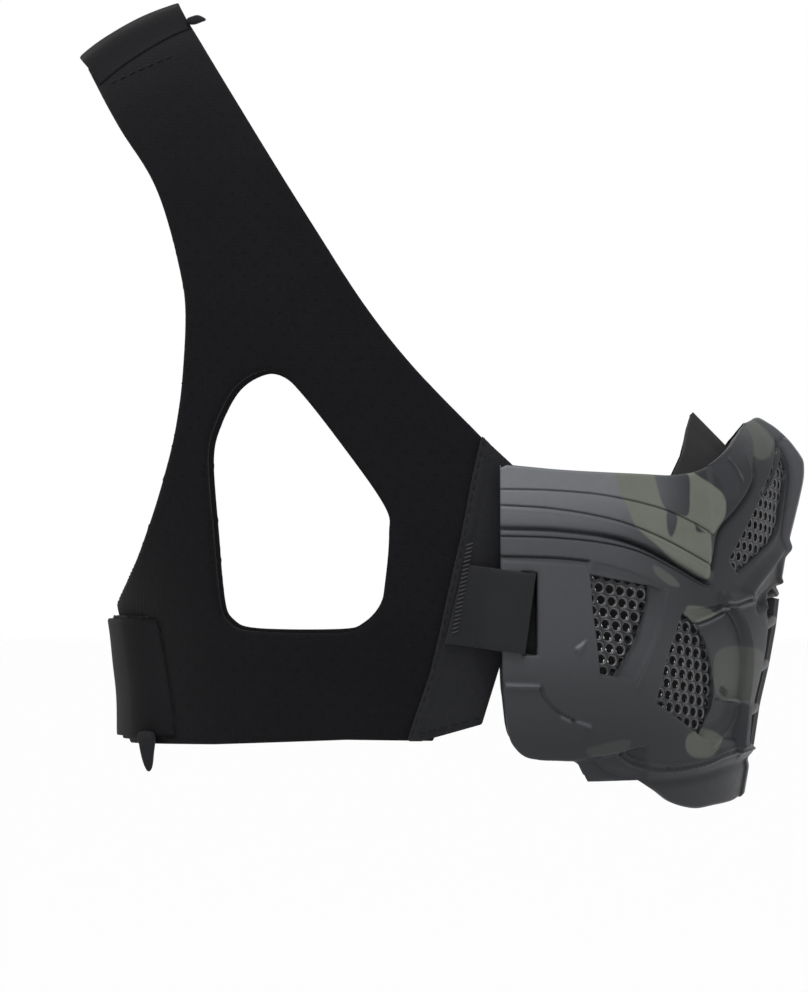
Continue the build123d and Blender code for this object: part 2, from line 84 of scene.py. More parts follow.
def section(z):
    """x, y and arc length of the right half of one level section, from its rear edge to the nose line."""
    x = half_width(z) * _cos_share
    y = REAR_Y + (front_y(z) - REAR_Y) * _sin_share
    s = np.concatenate([[0.0], np.cumsum(np.hypot(np.diff(x), np.diff(y)))])
    return x, y, s


TABLE_T = np.linspace(0, 1, 701)


_sections = [section(z) for z in _level_z]
TABLE_ARC = np.array([s[-1] for _, _, s in _sections])
TABLE_X = np.array([np.interp(TABLE_T * s[-1], s, x) for x, _, s in _sections])
TABLE_Y = np.array([np.interp(TABLE_T * s[-1], s, y) for _, y, s in _sections])


def wall_at(t, z):
    """x, y and arc length of the wall's points at share t of the arc and level z."""
    row = np.clip((z - _level_z[0]) / LEVEL_STEP, 0, len(_level_z) - 1.001)
    col = np.clip(t, 0, 1) * (len(TABLE_T) - 1.001)
    i, j = row.astype(int), col.astype(int)
    u, v = row - i, col - j
    out = []
    for table in (TABLE_X, TABLE_Y):
        low = table[i, j] * (1 - v) + table[i, j + 1] * v
        high = table[i + 1, j] * (1 - v) + table[i + 1, j + 1] * v
        out.append(low * (1 - u) + high * u)
    return out[0], out[1], t * (TABLE_ARC[i] * (1 - u) + TABLE_ARC[i + 1] * u)


def on_wall(y, z):
    """(arc length, z) of the wall's point at side coordinates (y, z)."""
    share = np.clip((REAR_Y - y) / (REAR_Y - front_y(z)), -0.2, 1.0)
    if share < 0:
        return (REAR_Y - y, z)
    x, ys, s = section(z)
    return (float(np.interp(-y, -ys, s)), z)


def at_width(x, z):
    """(arc length, z) of the wall's point at half width x."""
    xs, ys, s = section(z)
    return (float(np.interp(-x, -xs, s)), z)


def smooth_line(points, steps=8, closed=False):
    """A Catmull-Rom curve through points."""
    p = [np.array(q, float) for q in points]
    p = [p[-1], *p, p[0], p[1]] if closed else [2 * p[0] - p[1], *p, 2 * p[-1] - p[-2]]
    out = []
    for a, b, c, d in zip(p, p[1:], p[2:], p[3:]):
        for k in range(steps):
            t = k / steps
            cubic = 3 * b - a - 3 * c + d
            out.append(0.5 * (2 * b + (c - a) * t + (2 * a - 5 * b + 4 * c - d) * t**2 + cubic * t**3))
    if not closed:
        out.append(p[-2])
    return np.array(out)


def step(x, low, high):
    t = np.clip((x - low) / (high - low), 0, 1)
    return t * t * (3 - 2 * t)


def line_field(px, pz, line):
    """Distance to an open line."""
    best = np.full(px.shape, 1e9)
    for (ax, az), (dx, dz) in zip(line, np.diff(line, axis=0)):
        if abs(dx) + abs(dz) > 1e-9:
            t = np.clip(((px - ax) * dx + (pz - az) * dz) / (dx * dx + dz * dz), 0, 1)
            best = np.minimum(best, np.hypot(px - ax - t * dx, pz - az - t * dz))
    return best


def region_field(px, pz, outline):
    """Signed distance to a closed outline, positive inside."""
    ring = np.vstack([outline, outline[:1]])
    within = np.zeros(px.shape, bool)
    for (x0, z0), (x1, z1) in zip(ring, ring[1:]):
        if z0 != z1:
            within ^= ((z0 > pz) != (z1 > pz)) & (px < (x1 - x0) * (pz - z0) / (z1 - z0) + x0)
    return np.where(within, 1, -1) * line_field(px, pz, ring)


def walls(points, curved=True, of=on_wall):
    """A line given in side coordinates (or half widths), carried onto the wall's (arc length, z)."""
    return np.array([of(a, b) for a, b in (smooth_line(points) if curved else points)])


def straight(points):
    return walls(points, curved=False)


def bell(d, width):
    """1 at no distance, falling to 0 over about twice the width."""
    return np.exp(-((d / width) ** 2))


# ------------------------------------------------------------------ outlines, (y, z)
TOP_EDGE = [(-61.6, 10.5), (-68, 9.9), (-80, 8.9), (-102, 7.8), (-111.6, 7.4), (-120, 8.8), (-126.1, 12.7)]
TOP_EDGE += [(-130.4, 17.2), (-133.4, 22.8), (-134.6, 24.8)]
CHIN_EDGE = [(-133.2, -87.7), (-130.1, -89.9), (-124, -91.2), (-118, -92), (-111.3, -90.3), (-106.7, -87)]
CHIN_EDGE += [(-102, -83.8)]
JAW_EDGE = [(-86.7, -84.2), (-82.5, -78.2), (-71.4, -77.1), (-66.6, -75.8), (-63.2, -72.2), (-62, -68.5)]
REAR_EDGE = [(-61.2, -61.8), (-60.3, -49.5), (-59.4, 7.4), (-59.9, 9.6)]
REAR_WINDOW = [(-86.4, -21.9), (-104.4, -25.4), (-104.2, -30), (-102.6, -36), (-99.2, -44), (-94.2, -52.5)]
REAR_WINDOW += [(-89.5, -51.6)]
CHEEK_ARC = [(-114.3, -33), (-117.6, -36), (-120.8, -40.7), (-123, -47), (-124, -54), (-123.2, -63)]
CHEEK_ARC += [(-119.8, -70.4)]
NOSE_WINDOW_REAR = [(-144.6, 13), (-143.2, 8.6), (-141.6, 4.2), (-138.2, -0.6), (-133.8, -8), (-128.4, -17.8)]
NOSE_WINDOW_FRONT = [(-130.8, -21.8), (-136.6, -17), (-142.6, -10.4), (-144.7, 0), (-146.1, 9)]
WINDOWS = {
    "rear_mesh": straight(REAR_WINDOW),
    "cheek_mesh": np.vstack([walls(CHEEK_ARC), straight([(-106.4, -60.3), (-109.6, -47)])]),
    "nose_mesh": np.vstack([walls(NOSE_WINDOW_REAR), walls(NOSE_WINDOW_FRONT)]),
}
SLOT = (-68.3, -33.65, 2.3, 12.25)  # its middle, half width and half length
MOUTH = [(0, -28.6), (17, -29.6), (19.5, -31.5), (16, -37), (14.6, -44), (14.6, -64), (12.5, -72.5), (0, -74)]


# ------------------------------------------------------------------ relief of the shell
def across(line, z):
    """The arc length at which a line that runs up or down crosses each level."""
    order = np.argsort(line[:, 1])
    return np.interp(z, line[order, 1], line[order, 0])


def arc_at(y, z=-15.0):
    """The arc length of the wall's point at side coordinate y."""
    return on_wall(y, z)[0]


BAND = {
    1: [(-60, 3.2), (-72, 3), (-84, 2.2), (-90, 1.5), (-96, 0.4), (-102, -1), (-108, -2.8), (-114, -5.4),
        (-120, -8.7)],
    2: [(-60, -1.5), (-72, -2.2), (-78, -2.9), (-84, -3.8), (-90, -5), (-96, -6.6), (-102, -8.9), (-108, -11.6),
        (-114, -14.8)],
    3: [(-60, -8.3), (-72, -8.6), (-78, -9), (-84, -9.6), (-90, -10.4), (-96, -11.7), (-102, -13.8), (-108, -16.8),
        (-114, -20.2)],
    4: [(-60, -10.7), (-72, -11), (-78, -11.4), (-84, -11.9), (-90, -12.7), (-96, -13.9), (-102, -15.8),
        (-108, -18.6), (-114, -21.9)],
    5: [(-60, -16.6), (-72, -16.9), (-78, -17.2), (-84, -17.8), (-90, -18.6), (-96, -20.2), (-102, -22.4),
        (-108, -25), (-114, -27.8)],
}
BAND[1] += [(-124, -11.6), (-132, -14.6), (-142, -17), (-150, -18)]
BAND[2] += [(-120, -18.2), (-124, -20.3), (-132, -22.6), (-142, -24.4), (-150, -25)]
BAND[3] += [(-119, -23.2), (-124, -25.6), (-132, -27.6), (-142, -29.2), (-150, -30)]
BAND[4] += [(-119, -24.8), (-124, -27), (-132, -29), (-142, -30.6), (-150, -31.4)]
BAND[5] += [(-119, -29.8), (-124, -31.6), (-132, -33.6), (-142, -35), (-150, -35.8)]
BAND = {k: walls(v) for k, v in BAND.items()}


def band_level(k, s):
    return np.interp(s, BAND[k][:, 0], BAND[k][:, 1])


RIB_INNER = walls([(38.5, -31), (32.6, -36), (28, -41.6), (24.8, -47), (22.4, -54), (20.6, -61), (18.6, -72)],
    of=at_width)
RIB_OUTER = walls([(24, -29), (20, -32.4), (17.2, -37.4), (15.4, -44), (15.2, -54), (15, -63), (13.6, -72)],
    of=at_width)
NOSE_CREASE = walls([(-135.6, 20), (-136.6, 13.2), (-137, 7.5), (-135.2, 2.7), (-130.4, -3.3), (-124.8, -9.6),
    (-122.6, -20)])
NOSE_FOLD = walls([(-143.2, 18), (-142.8, 11), (-140.6, 4.6), (-138.6, 1.6)])
RIDGE_RISE = [(-30, 0.6), (-26, 1.3), (-18, 1.5), (-12, 2), (-6, 2.6), (6, 3.7), (10.7, 4.3), (14, 3.4), (20, 1.9),
    (25, 0.4)]
DOUBLE_BARS = [[(-127, -30.6), (-133.2, -28.8)], [(-127, -32.2), (-133.2, -30.4)]]
DOUBLE_BARS += [[(-118.6, z), (-122.4, z + 1.4), (-126.6, z + 3.6)] for z in (-36, -37.6)]
CHIN_LINE = [(5, -72.4), (24, -74.6), (35, -77.4), (47, -79), (55, -77.6), (60, -74)]
CHIN_CREASE = [(0, -77.6), (20, -79.4), (36, -82.2), (50, -83.4), (60, -80.4), (67, -72)]
RAMP_ARC = walls([(-108.9, -27), (-107.4, -36), (-105.2, -42.5), (-102.6, -48.6), (-99.9, -54.3)])
RAMP_EDGE = walls([(-104.4, -25.4), (-104.2, -30), (-102.6, -36), (-99.2, -44), (-94.2, -52.5)])
LIP = walls([(-131.2, -60.6), (-130.4, -65.6), (-127.4, -69.6), (-123.4, -72.6)])
# Raised lines, and cut ones where the height is under 0: (height, width, line)
LINES = [(1.2, 0.54, straight(bar)) for bar in DOUBLE_BARS]
LINES += [(0.75, 0.504, walls([(x, z - drop) for x, z in CHIN_LINE], of=at_width)) for drop in (0, 1.7)]
LINES += [
    (-0.6, 1.4, walls(CHIN_CREASE, of=at_width)),
    (0.8, 0.72, RAMP_ARC),
    (0.8, 0.648, LIP),
    (1.1, 0.72, straight([(-126, -59.4), (-132.4, -60.2)])),
    (-1.4, 1.0, straight([(-126.8, -56.6), (-128, -57.8)])),
    (1.6, 0.792, straight([(-126, -28.2), (-126.6, -32.4)])),
    (-2.2, 1.5, walls([(-135.6, -31.6), (-138.8, -29.2), (-143.6, -25.2)])),
    (1.1, 0.576, straight([(-61.2, -54.6), (-71.4, -54.9)])),
    (-0.9, 0.6, walls([(-71.7, -55.2), (-73.2, -59), (-76.5, -62.4), (-81, -65), (-84, -66)])),
    (1.0, 0.576, straight([(-82.6, -65.6), (-86.4, -66.9)])),
    (-1.5, 0.85, NOSE_CREASE),
    (-0.8, 0.6, NOSE_FOLD),
    (0.55, 0.648, straight([(-129.8, 13.2), (-133, 6.3)])),
    (1.9, 2.304, walls([(-144, -14), (-140.6, -19), (-136.8, -23.6), (-134, -27.4)])),
    (1.7, 1.08, walls([(0, -24.6), (7, -25.2), (14, -27.6), (20, -31.4)], of=at_width)),
]


def bands_fade(s):
    return 1 - step(s, arc_at(-120.0), arc_at(-124.0))


def crease_shade(s, z):
    """Painted shade that darkens the fine lines and creases, 0 to 1."""
    out = np.zeros(s.shape)
    for k, share, width in ((1, 0.45, 0.32), (2, 0.5, 0.32), (3, 0.85, 0.6), (4, 0.5, 0.3)):
        out = np.maximum(out, share * bell(z - band_level(k, s), width) * bands_fade(s))
    out = np.maximum(out, 0.7 * bell(z - band_level(5, s), 0.42) * (1 - step(s, arc_at(-85.6), arc_at(-86.6))))
    for line, share, width in ((NOSE_CREASE, 0.8, 0.7), (NOSE_FOLD, 0.6, 0.7), (RIB_INNER, 0.4, 0.6)):
        out = np.maximum(out, share * bell(line_field(s, z, line), width))
    return out


def relief(s, x, z):
    """How far the shell's outer face stands out of its base surface, for the right half."""

    def to(line):
        return line_field(s, z, line)

    def within(outline, low, high):
        return step(region_field(s, z, outline), low, high)

    def past(y, full_y):
        """0 behind a side coordinate, 1 in front of another."""
        return step(s, arc_at(y), arc_at(full_y))

    out = sum(height * bell(to(line), width) for height, width, line in LINES)
    # cheek bands: two fine lines over a swell that rolls in to a deep third one, and a flat strip under it
    levels = {k: band_level(k, s) for k in BAND}
    fade = bands_fade(s)
    roll = 1 - (1 - np.clip((z - levels[3]) / 3.2, 0, 1)) ** 2.6
    out += roll * (0.5 + 0.9 * past(-84.0, -106.0)) * fade
    out -= (1.2 + 0.8 * past(-84.0, -100.0)) * bell(z - levels[3], 0.7) * fade
    for k, depth, width in ((1, 0.55, 0.30), (2, 0.6, 0.30), (4, 0.45, 0.28)):
        out -= depth * bell(z - levels[k], width) * fade
    out += 0.14 * bell(z - levels[2] + 1.2, 0.35) * fade
    strip = step(levels[4] - z, 0.0, 0.55) * (1 - step(levels[5] - z, -0.2, 0.9))
    out += 0.75 * strip * (1 - past(-98.0, -112.0))
    out -= 1.1 * bell(z - levels[5], 0.38) * (1 - past(-85.4, -86.6))
    out -= 0.055 * np.clip(z + 8.0, 0, None) ** 1.3 * (1 - step(s, 90.0, 118.0))
    # zone behind the windows' upper rims, rolled in under the strip
    zone = past(-86.2, -88.0) * (1 - past(-104.0, -112.0))
    out -= zone * step(levels[5] - z, -1.2, 2.2) * step(z, -40.0, -30.0)
    # rear plate, proud of the window zone, with a small wedge on it
    plate = [(-55, -17.5), (-85.2, -18.9), (-86.2, -21.9), (-89.4, -51.6), (-88, -56), (-55, -57)]
    out += 0.8 * within(straight(plate), -0.1, 0.7) * (1 - step(-z, 47.0, 55.0))
    out += within(straight([(-81, -44.2), (-84.9, -41), (-83, -45.2)]), -0.4, 0.5)
    # ramp from a curved line down to the rear window's front edge
    share = to(RAMP_ARC) / np.maximum(to(RAMP_ARC) + to(RAMP_EDGE), 1e-6)
    out -= 2.0 * within(np.vstack([RAMP_ARC, RAMP_EDGE[::-1]]), -0.3, 0.5) * share
    # plate between the cheek window and the mouth rib
    front = walls([(-119.8, -70.4), (-123.2, -63), (-124, -54), (-120.8, -40.7), (-114.3, -33)])
    out -= 0.9 * within(np.vstack([RIB_INNER, front]), -0.6, 0.8)
    # mouth rib, wrapped round the mouth opening
    out += 2.1 * step(s - across(RIB_INNER, z), -0.2, 2.4) * step(z, -79.0, -72.0) * (1 - step(z, -31.0, -27.0))
    out -= 0.5 * bell(to(RIB_INNER), 0.6) * step(z, -72.0, -60.0)
    # ledge above the lip of the cheek window's lower front corner
    ledge = np.vstack([LIP, walls([(-119.8, -70.4), (-123.2, -63), (-124, -59)])])
    out -= 1.2 * within(ledge, -0.2, 0.6) * step(to(LIP), 0.2, 5.0)
    # nose: the cheek rises towards the crease, and the ridge stands proud
    behind = 1 - step(s - across(NOSE_CREASE, z), -0.6, 0.3)
    rise = 0.7 * behind * np.exp(-to(NOSE_CREASE) / 7.0) * step(z, -22.0, -14.0)
    out += rise * step(s - arc_at(-119.0), -4.0, 4.0)
    ridge = np.interp(z, *np.array(RIDGE_RISE).T) * step(z, -31.0, -27.0)
    out += ridge * (1 - step(np.abs(x), 4.6, 7.6))
    # jaw flange, set back under the cheek, and a flat strip down the chin
    flange = [(-78, -77.6), (-92, -75.2), (-104, -72.4), (-104, -100), (-78, -100)]
    out -= 2.0 * within(straight(flange), 0.0, 1.6) * (1 - step(s, 44.0, 52.0))
    out += 0.8 * (1 - step(np.abs(x), 5.2, 6.4)) * step(-z, 76.0, 79.0)
    return out


def keep_field(s, x, z):
    """Positive where the shell has material, in millimetres from its nearest edge."""
    outline = np.vstack([walls(TOP_EDGE), straight([(-134.6, 24.8), (-160, 24.8)])])
    outline[-1, 0] += 60.0
    chin = np.vstack([[outline[-1, 0], -87.8], walls(CHIN_EDGE), walls(JAW_EDGE), walls(REAR_EDGE)])
    field = region_field(s, z, np.vstack([outline, chin]))
    slot_y, slot_z, half_w, half_l = SLOT
    slot = [(slot_y + a * half_w, slot_z + b * half_l) for a, b in ((-1, -1), (1, -1), (1, 1), (-1, 1))]
    for hole in (*WINDOWS.values(), straight(slot)):
        field = np.minimum(field, -region_field(s, z, hole))
    mouth = np.vstack([MOUTH, [(-20, -74), (-20, -28.6)]])
    return np.minimum(field, -region_field(np.abs(x), z, mouth))


# ------------------------------------------------------------------ meshes
def new_object(name, verts, faces, mat):
    """A smooth-shaded object. verts are in millimetres."""
    mesh = bpy.data.meshes.new(name)
    mesh.from_pydata([tuple(v) for v in np.asarray(verts) * MM], [], faces)
    mesh.validate()
    mesh.update()
    mesh.materials.append(mat)
    ob = bpy.data.objects.new(name, mesh)
    bpy.context.scene.collection.objects.link(ob)
    return smooth(ob)


def smooth(ob):
    ob.data.polygons.foreach_set("use_smooth", [True] * len(ob.data.polygons))
    return ob


def add_layers(ob, layers):
    """Point attributes that the materials read."""
    for name, values in layers.items():
        ob.data.attributes.new(name, "FLOAT", "POINT").data.foreach_set("value", np.array(values, np.float32))


@contextmanager
def edited(ob):
    """The object's mesh as a bmesh, which is written back afterwards."""
    bm = bmesh.new()
    bm.from_mesh(ob.data)
    yield bm
    bm.to_mesh(ob.data)
    bm.free()


def recalc(ob):
    with edited(ob) as bm:
        bmesh.ops.recalc_face_normals(bm, faces=bm.faces)
    return ob


def soften(ob, angle):
    """Keeps creases where faces meet at more than an angle in degrees."""
    with edited(ob) as bm:
        for edge in bm.edges:
            if len(edge.link_faces) == 2 and edge.calc_face_angle(0.0) > math.radians(angle):
                edge.smooth = False
    return ob


def outward(p, at, axis, sign):
    """Normals of a grid of points, turned so that the one at a grid place looks to one side along an axis."""
    n = np.cross(np.gradient(p, axis=1), np.gradient(p, axis=0))
    n = n / np.maximum(np.linalg.norm(n, axis=2, keepdims=True), 1e-9)
    return n if n[at][axis] * sign > 0 else -n


def slab(name, outer, inner, field, mat, chamfer=0.35, attributes=None, behind=None):
    """A closed sheet from two matching grids of points, kept where field > 0 and cut along its zero line.
    chamfer draws the outer and inner rims together, which rounds the sheet's edge. behind gives the inner
    face attribute values of its own."""
    flat_out, flat_in, f = outer.reshape(-1, 3), inner.reshape(-1, 3), field.ravel()
    layers = {k: v.ravel() for k, v in (attributes or {}).items()}
    inside = f > 0
    ids = np.arange(f.size).reshape(field.shape)
    quads = np.stack([ids[:-1, :-1], ids[:-1, 1:], ids[1:, 1:], ids[1:, :-1]], axis=-1).reshape(-1, 4)
    counts = inside[quads].sum(axis=1)
    used = np.unique(quads[counts > 0])
    used = used[inside[used]]
    index = np.full(f.size, -1)
    index[used] = np.arange(len(used))
    out_v, in_v = list(flat_out[used]), list(flat_in[used])
    extra = {k: list(v[used]) for k, v in layers.items()}
    cuts, faces = {}, index[quads[counts == 4]].tolist()

    def cut(i, j):
        key = (min(i, j), max(i, j))
        if key not in cuts:
            t = f[i] / (f[i] - f[j])
            a, b = (flat[i] * (1 - t) + flat[j] * t for flat in (flat_out, flat_in))
            toward = (b - a) / max(np.linalg.norm(b - a), 1e-9)
            cuts[key] = len(out_v)
            out_v.append(a + toward * chamfer)
            in_v.append(b - toward * chamfer)
            for k, v in layers.items():
                extra[k].append(v[i] * (1 - t) + v[j] * t)
        return cuts[key]

    for q in quads[(counts > 0) & (counts < 4)].tolist():
        poly = []
        for i, j in zip(q, q[1:] + q[:1]):
            if inside[i]:
                poly.append(int(index[i]))
            if inside[i] != inside[j]:
                poly.append(cut(i, j))
        if len(poly) >= 3:
            faces.append(poly)
    count = len(out_v)
    edges = dict.fromkeys((a, b) for face in faces for a, b in zip(face, face[1:] + face[:1]))
    rim = [[b, a, a + count, b + count] for a, b in edges if (b, a) not in edges]
    back = [[i + count for i in reversed(face)] for face in faces]
    ob = new_object(name, np.vstack([out_v, in_v]), faces + back + rim, mat)
    add_layers(ob, {k: v + ([behind[k]] * count if behind else v) for k, v in extra.items()})
    return ob


def wall_grid(low, high, rows, count):
    """Grids over the right half of the wall: arc length, x, y, z."""
    t, z = np.meshgrid(np.linspace(0, 1, count), np.linspace(0, 1, rows) * (high - low) + low)
    x, y, s = wall_at(t, z)
    return s, x, y, z


def guided_grid(levels, rows, count):
    """A wall grid whose rows follow guide levels, one array per guide, with close rows next to each guide."""
    t = np.linspace(0, 1, count)
    parts = []
    for low, high, n in zip(levels, levels[1:], rows):
        v = np.linspace(0, 1, n + 1)[:-1]
        v = 0.4 * v + 0.6 * (0.5 - 0.5 * np.cos(math.pi * v))
        parts.append(low + (high - low) * v[:, None])
    z = np.vstack([*parts, levels[-1][None, :]])
    x, y, s = wall_at(np.broadcast_to(t, z.shape), z)
    return s, x, y, z


def rounded(field, width, depth):
    """How far a face drops towards its rim, over the last width of it."""
    return depth * (1 - np.clip(field / width, 0, 1)) ** 2


def both_halves(s, x, y, z, *values):
    """The right half and its mirror as one grid that runs from the right rear edge to the left one."""
    total = s[:, -1:]
    full_s = np.hstack([s, 2 * total - s[:, -2::-1]])
    full_x = np.hstack([-x, x[:, -2::-1]])
    joined = [full_s, full_x, np.hstack([y, y[:, -2::-1]]), np.hstack([z, z[:, -2::-1]])]
    return joined + [np.hstack([v, v[:, -2::-1]]) for v in values]


# ------------------------------------------------------------------ camouflage, as patches on the wall
# Olive patches with how strong each is, grey gaps in them, and near-black patches
OLIVE = [
    (1.0, [(-95.5, 12), (-94.6, 5), (-97, -2), (-99.5, -8), (-104.5, -12.6), (-112, -18.6), (-119.5, -23),
        (-121.6, -22), (-121.4, -11), (-120, -9.6), (-117, -9), (-116.6, -4), (-114, 4.6), (-113, 12)]),
    (1.0, [(-113, 12), (-119.7, 6.6), (-124.6, 3.8), (-127.2, 0.6), (-126.6, -4.4), (-124.5, -7.6), (-122.4, -9.8),
        (-119.4, -9.4), (-116.4, -6), (-115.6, -1), (-114.2, 6.4)]),
    (0.36, [(-133.4, 22.6), (-137, 24.6), (-141.8, 21.6), (-141.6, 14), (-138.8, 12.8), (-136.4, 16), (-133, 14.6)]),
    (0.6, [(-115.6, -31.4), (-122.4, -32.4), (-123.6, -34.4), (-118.4, -36.4), (-115.4, -34.4)]),
    (0.34, [(-124.6, -46.4), (-131.4, -43.6), (-137.4, -46.6), (-138.2, -61), (-131.6, -60), (-125.2, -58.6)]),
    (0.55, [(-115.8, -69.8), (-121.6, -68.4), (-126, -70.4), (-123.8, -75.6), (-118.6, -76.8), (-115.2, -74.4)]),
    (0.4, [(-105.2, -19.2), (-110.8, -22.6), (-113, -25.6), (-109.6, -25), (-105.4, -21.6)]),
    (0.14, [(-85.6, -74), (-93, -71.6), (-98.4, -71.2), (-96.4, -74.6), (-88, -76.4)]),
]
GREY = [
    [(-106.6, 9), (-115.4, 8.6), (-115.6, 0), (-114.6, -4.4), (-111.8, -4), (-108.2, -2.4), (-106.4, 3)],
    [(-108.6, -3.6), (-111.4, -4), (-111, -8), (-109.6, -10.8), (-108.4, -8.4)],
]
DARK = [
    [(-122, 13), (-131, 12), (-131.6, 2), (-127.6, 0), (-126, 6)],
    [(-132, -66), (-138, -66), (-137, -84), (-126, -84)],
    # painted shade along the deep cut between the nose and the mouth
    [(-135, -32.4), (-138.6, -30.6), (-143, -26.4), (-143, -25), (-138.6, -27.8), (-135.4, -30.2)],
]
# Short raised lines whose crests get a painted highlight
HIGHLIGHT_LINES = [*DOUBLE_BARS, [(-126, -59.4), (-132.4, -60.2)], [(-61.6, -54.6), (-71, -54.9)]]
HIGHLIGHT_LINES += [[(-82.6, -65.6), (-86, -66.8)], [(-81.8, -43.6), (-84.6, -41.6)], [(-129.8, 13.2), (-133, 6.3)]]
HIGHLIGHT_LINES += [[(-78, -64.2), (-80.4, -65.4)]]


def camo_fields(s, z):
    """0 to 1 for olive patches, and for near-black ones joined with the painted shade in the creases, on the right
    half.
    """

    def patch(points, edge):
        loop = np.array([on_wall(a, b) for a, b in smooth_line(points, closed=True)])
        return step(region_field(s, z, loop), -edge, edge)

    olive = np.max([share * patch(points, 0.35) for share, points in OLIVE], axis=0)
    for points in GREY:
        olive *= 1 - patch(points, 0.3)
    return olive, np.max([*(patch(points, 0.8) for points in DARK), crease_shade(s, z)], axis=0)


def tone_field(s, y, z):
    """How pale the grey paint is, 0 to 1: pale along the cheek's top and dark under it, as painted light from above,
    dark round the nose, with painted highlights on the crests of the small raised lines and on the mouth rib's edge."""
    # painted light from above: the cheek paler towards its top and darker lower down
    side = np.interp(z, [-90, -72, -56, -44, -28, -17, -10, -3, 3],
        [0.06, 0.06, 0.14, 0.26, 0.29, 0.30, 0.36, 0.66, 0.86])
    cheek = 1 - step(-y, 92.0, 122.0) * step(z, -60.0, -30.0)
    front = np.interp(z, [-90, -72, -60, -44, -28, -17, 0, 10, 20],
        [0.08, 0.08, 0.08, 0.06, 0.08, 0.05, 0.03, 0.03, 0.08])
    rib_highlight = bell(line_field(s, z, RIB_OUTER), 1.4) * step(z, -75.0, -71.0) * (1 - step(z, -34.0, -30.0))
    crest_highlight = np.max([bell(line_field(s, z, straight(line)), 0.42) for line in HIGHLIGHT_LINES], axis=0)
    return side * cheek + front * (1 - cheek) + 0.38 * crest_highlight + 0.16 * rib_highlight


def blobs(a, b, count, seed, size, low, high):
    """Soft rounded patches scattered over grid coordinates, for the sides that carry a free pattern."""
    rng = np.random.default_rng(seed)
    field = np.zeros(a.shape)
    for _ in range(count):
        ca, cb = rng.uniform(a.min(), a.max()), rng.uniform(b.min(), b.max())
        ra, rb = rng.uniform(0.5, 1.2) * size, rng.uniform(0.35, 0.8) * size
        turn = rng.uniform(0, math.pi)
        wobble = rng.uniform(0, 6.28, 2)
        da, db = a - ca, b - cb
        u, v = da * math.cos(turn) + db * math.sin(turn), -da * math.sin(turn) + db * math.cos(turn)
        ang = np.arctan2(v, u)
        r = np.hypot(u / ra, v / rb) * (1 + 0.2 * np.sin(2 * ang + wobble[0]) + 0.13 * np.sin(3 * ang + wobble[1]))
        field = np.maximum(field, 1 - step(r, low, high))
    return field


# ------------------------------------------------------------------ materials
class Finish:
    """A material, with a short call for each kind of node that it is made of."""

    def __init__(self, name, turn=0.0):
        self.mat = bpy.data.materials.new(name)
        self.mat.use_nodes = True
        self.nodes, self.links = self.mat.node_tree.nodes, self.mat.node_tree.links
        place = self.node("TexCoord").outputs["Object"]
        turned = (math.radians(turn), 0, 0)
        self.where = self.node("Mapping", {"Vector": place, "Rotation": turned}).outputs["Vector"]

    def put(self, node, inputs):
        """Sets a node's inputs, by name or number, to values or to other nodes' outputs."""
        for key, value in inputs.items():
            if isinstance(value, bpy.types.NodeSocket):
                self.links.new(value, node.inputs[key])
            else:
                node.inputs[key].default_value = value

    def node(self, kind, inputs=None, **settings):
        node = self.nodes.new("ShaderNode" + kind)
        for key, value in settings.items():
            setattr(node, key, value)
        self.put(node, inputs or {})
        return node

    def shade(self, color, roughness, specular, normal, **more):
        inputs = {"Base Color": color, "Roughness": roughness, "Specular IOR Level": specular, "Normal": normal}
        inputs.update({key.replace("_", " ").title(): value for key, value in more.items()})
        self.put(self.nodes["Principled BSDF"], inputs)
        return self.mat

    def layer(self, name):
        """One of the mesh's own attributes."""
        return self.node("Attribute", attribute_name=name).outputs["Fac"]

    def mix(self, factor, a, b, blend="MIX"):
        return self.node("Mix", {0: factor, 6: a, 7: b}, data_type="RGBA", blend_type=blend).outputs[2]

    def varied(self, field, colour, share):
        """A colour that goes from darker to lighter by a share of itself over a field."""
        low, high = ((*(c * k for c in colour), 1) for k in (1 - share, 1 + share))
        return self.mix(field, low, high)

    def ramp(self, source, stops):
        node = self.node("ValToRGB", {"Fac": source})
        elements = node.color_ramp.elements
        while len(elements) < len(stops):
            elements.new(0.5)
        for element, (place, value) in zip(elements, stops):
            element.position, element.color = place, (value, value, value, 1)
        return node.outputs["Color"]

    def noise(self, scale, detail):
        inputs = {"Vector": self.where, "Scale": scale, "Detail": detail, "Roughness": 0.55}
        return self.node("TexNoise", inputs).outputs["Fac"]

    def wave(self, direction, inputs):
        return self.node("TexWave", {"Vector": self.where, **inputs}, bands_direction=direction).outputs["Fac"]

    def bump(self, height, strength, distance, below=None):
        inputs = {"Height": height, "Strength": strength, "Distance": distance}
        return self.node("Bump", inputs if below is None else {**inputs, "Normal": below}).outputs["Normal"]


def camo_material():
    paint = Finish("camo_plastic")
    big, fine, mottled = paint.noise(55.0, 3.0), paint.noise(2200.0, 2.0), paint.noise(420.0, 4.0)
    # tone: painted light, paler towards the cheek's top, with painted highlights on raised lines
    grey = paint.mix(paint.layer("tone"), (0.0095, 0.0100, 0.0115, 1), (0.098, 0.102, 0.110, 1))
    olive = paint.mix(big, (0.066, 0.072, 0.058, 1), (0.095, 0.101, 0.086, 1))
    painted = paint.mix(paint.layer("olive"), grey, olive)
    # dark: near-black patches, and painted shade in the fine lines and creases
    painted = paint.mix(paint.layer("dark"), painted, (0.016, 0.017, 0.020, 1))
    worn = paint.ramp(mottled, [(0, 0.93), (0.5, 1), (1, 1.08)])
    rough = paint.ramp(mottled, [(0.2, 0.40), (0.8, 0.52)])
    return paint.shade(paint.mix(1.0, painted, worn, "MULTIPLY"), rough, 0.14, paint.bump(fine, 0.12, 0.0001))


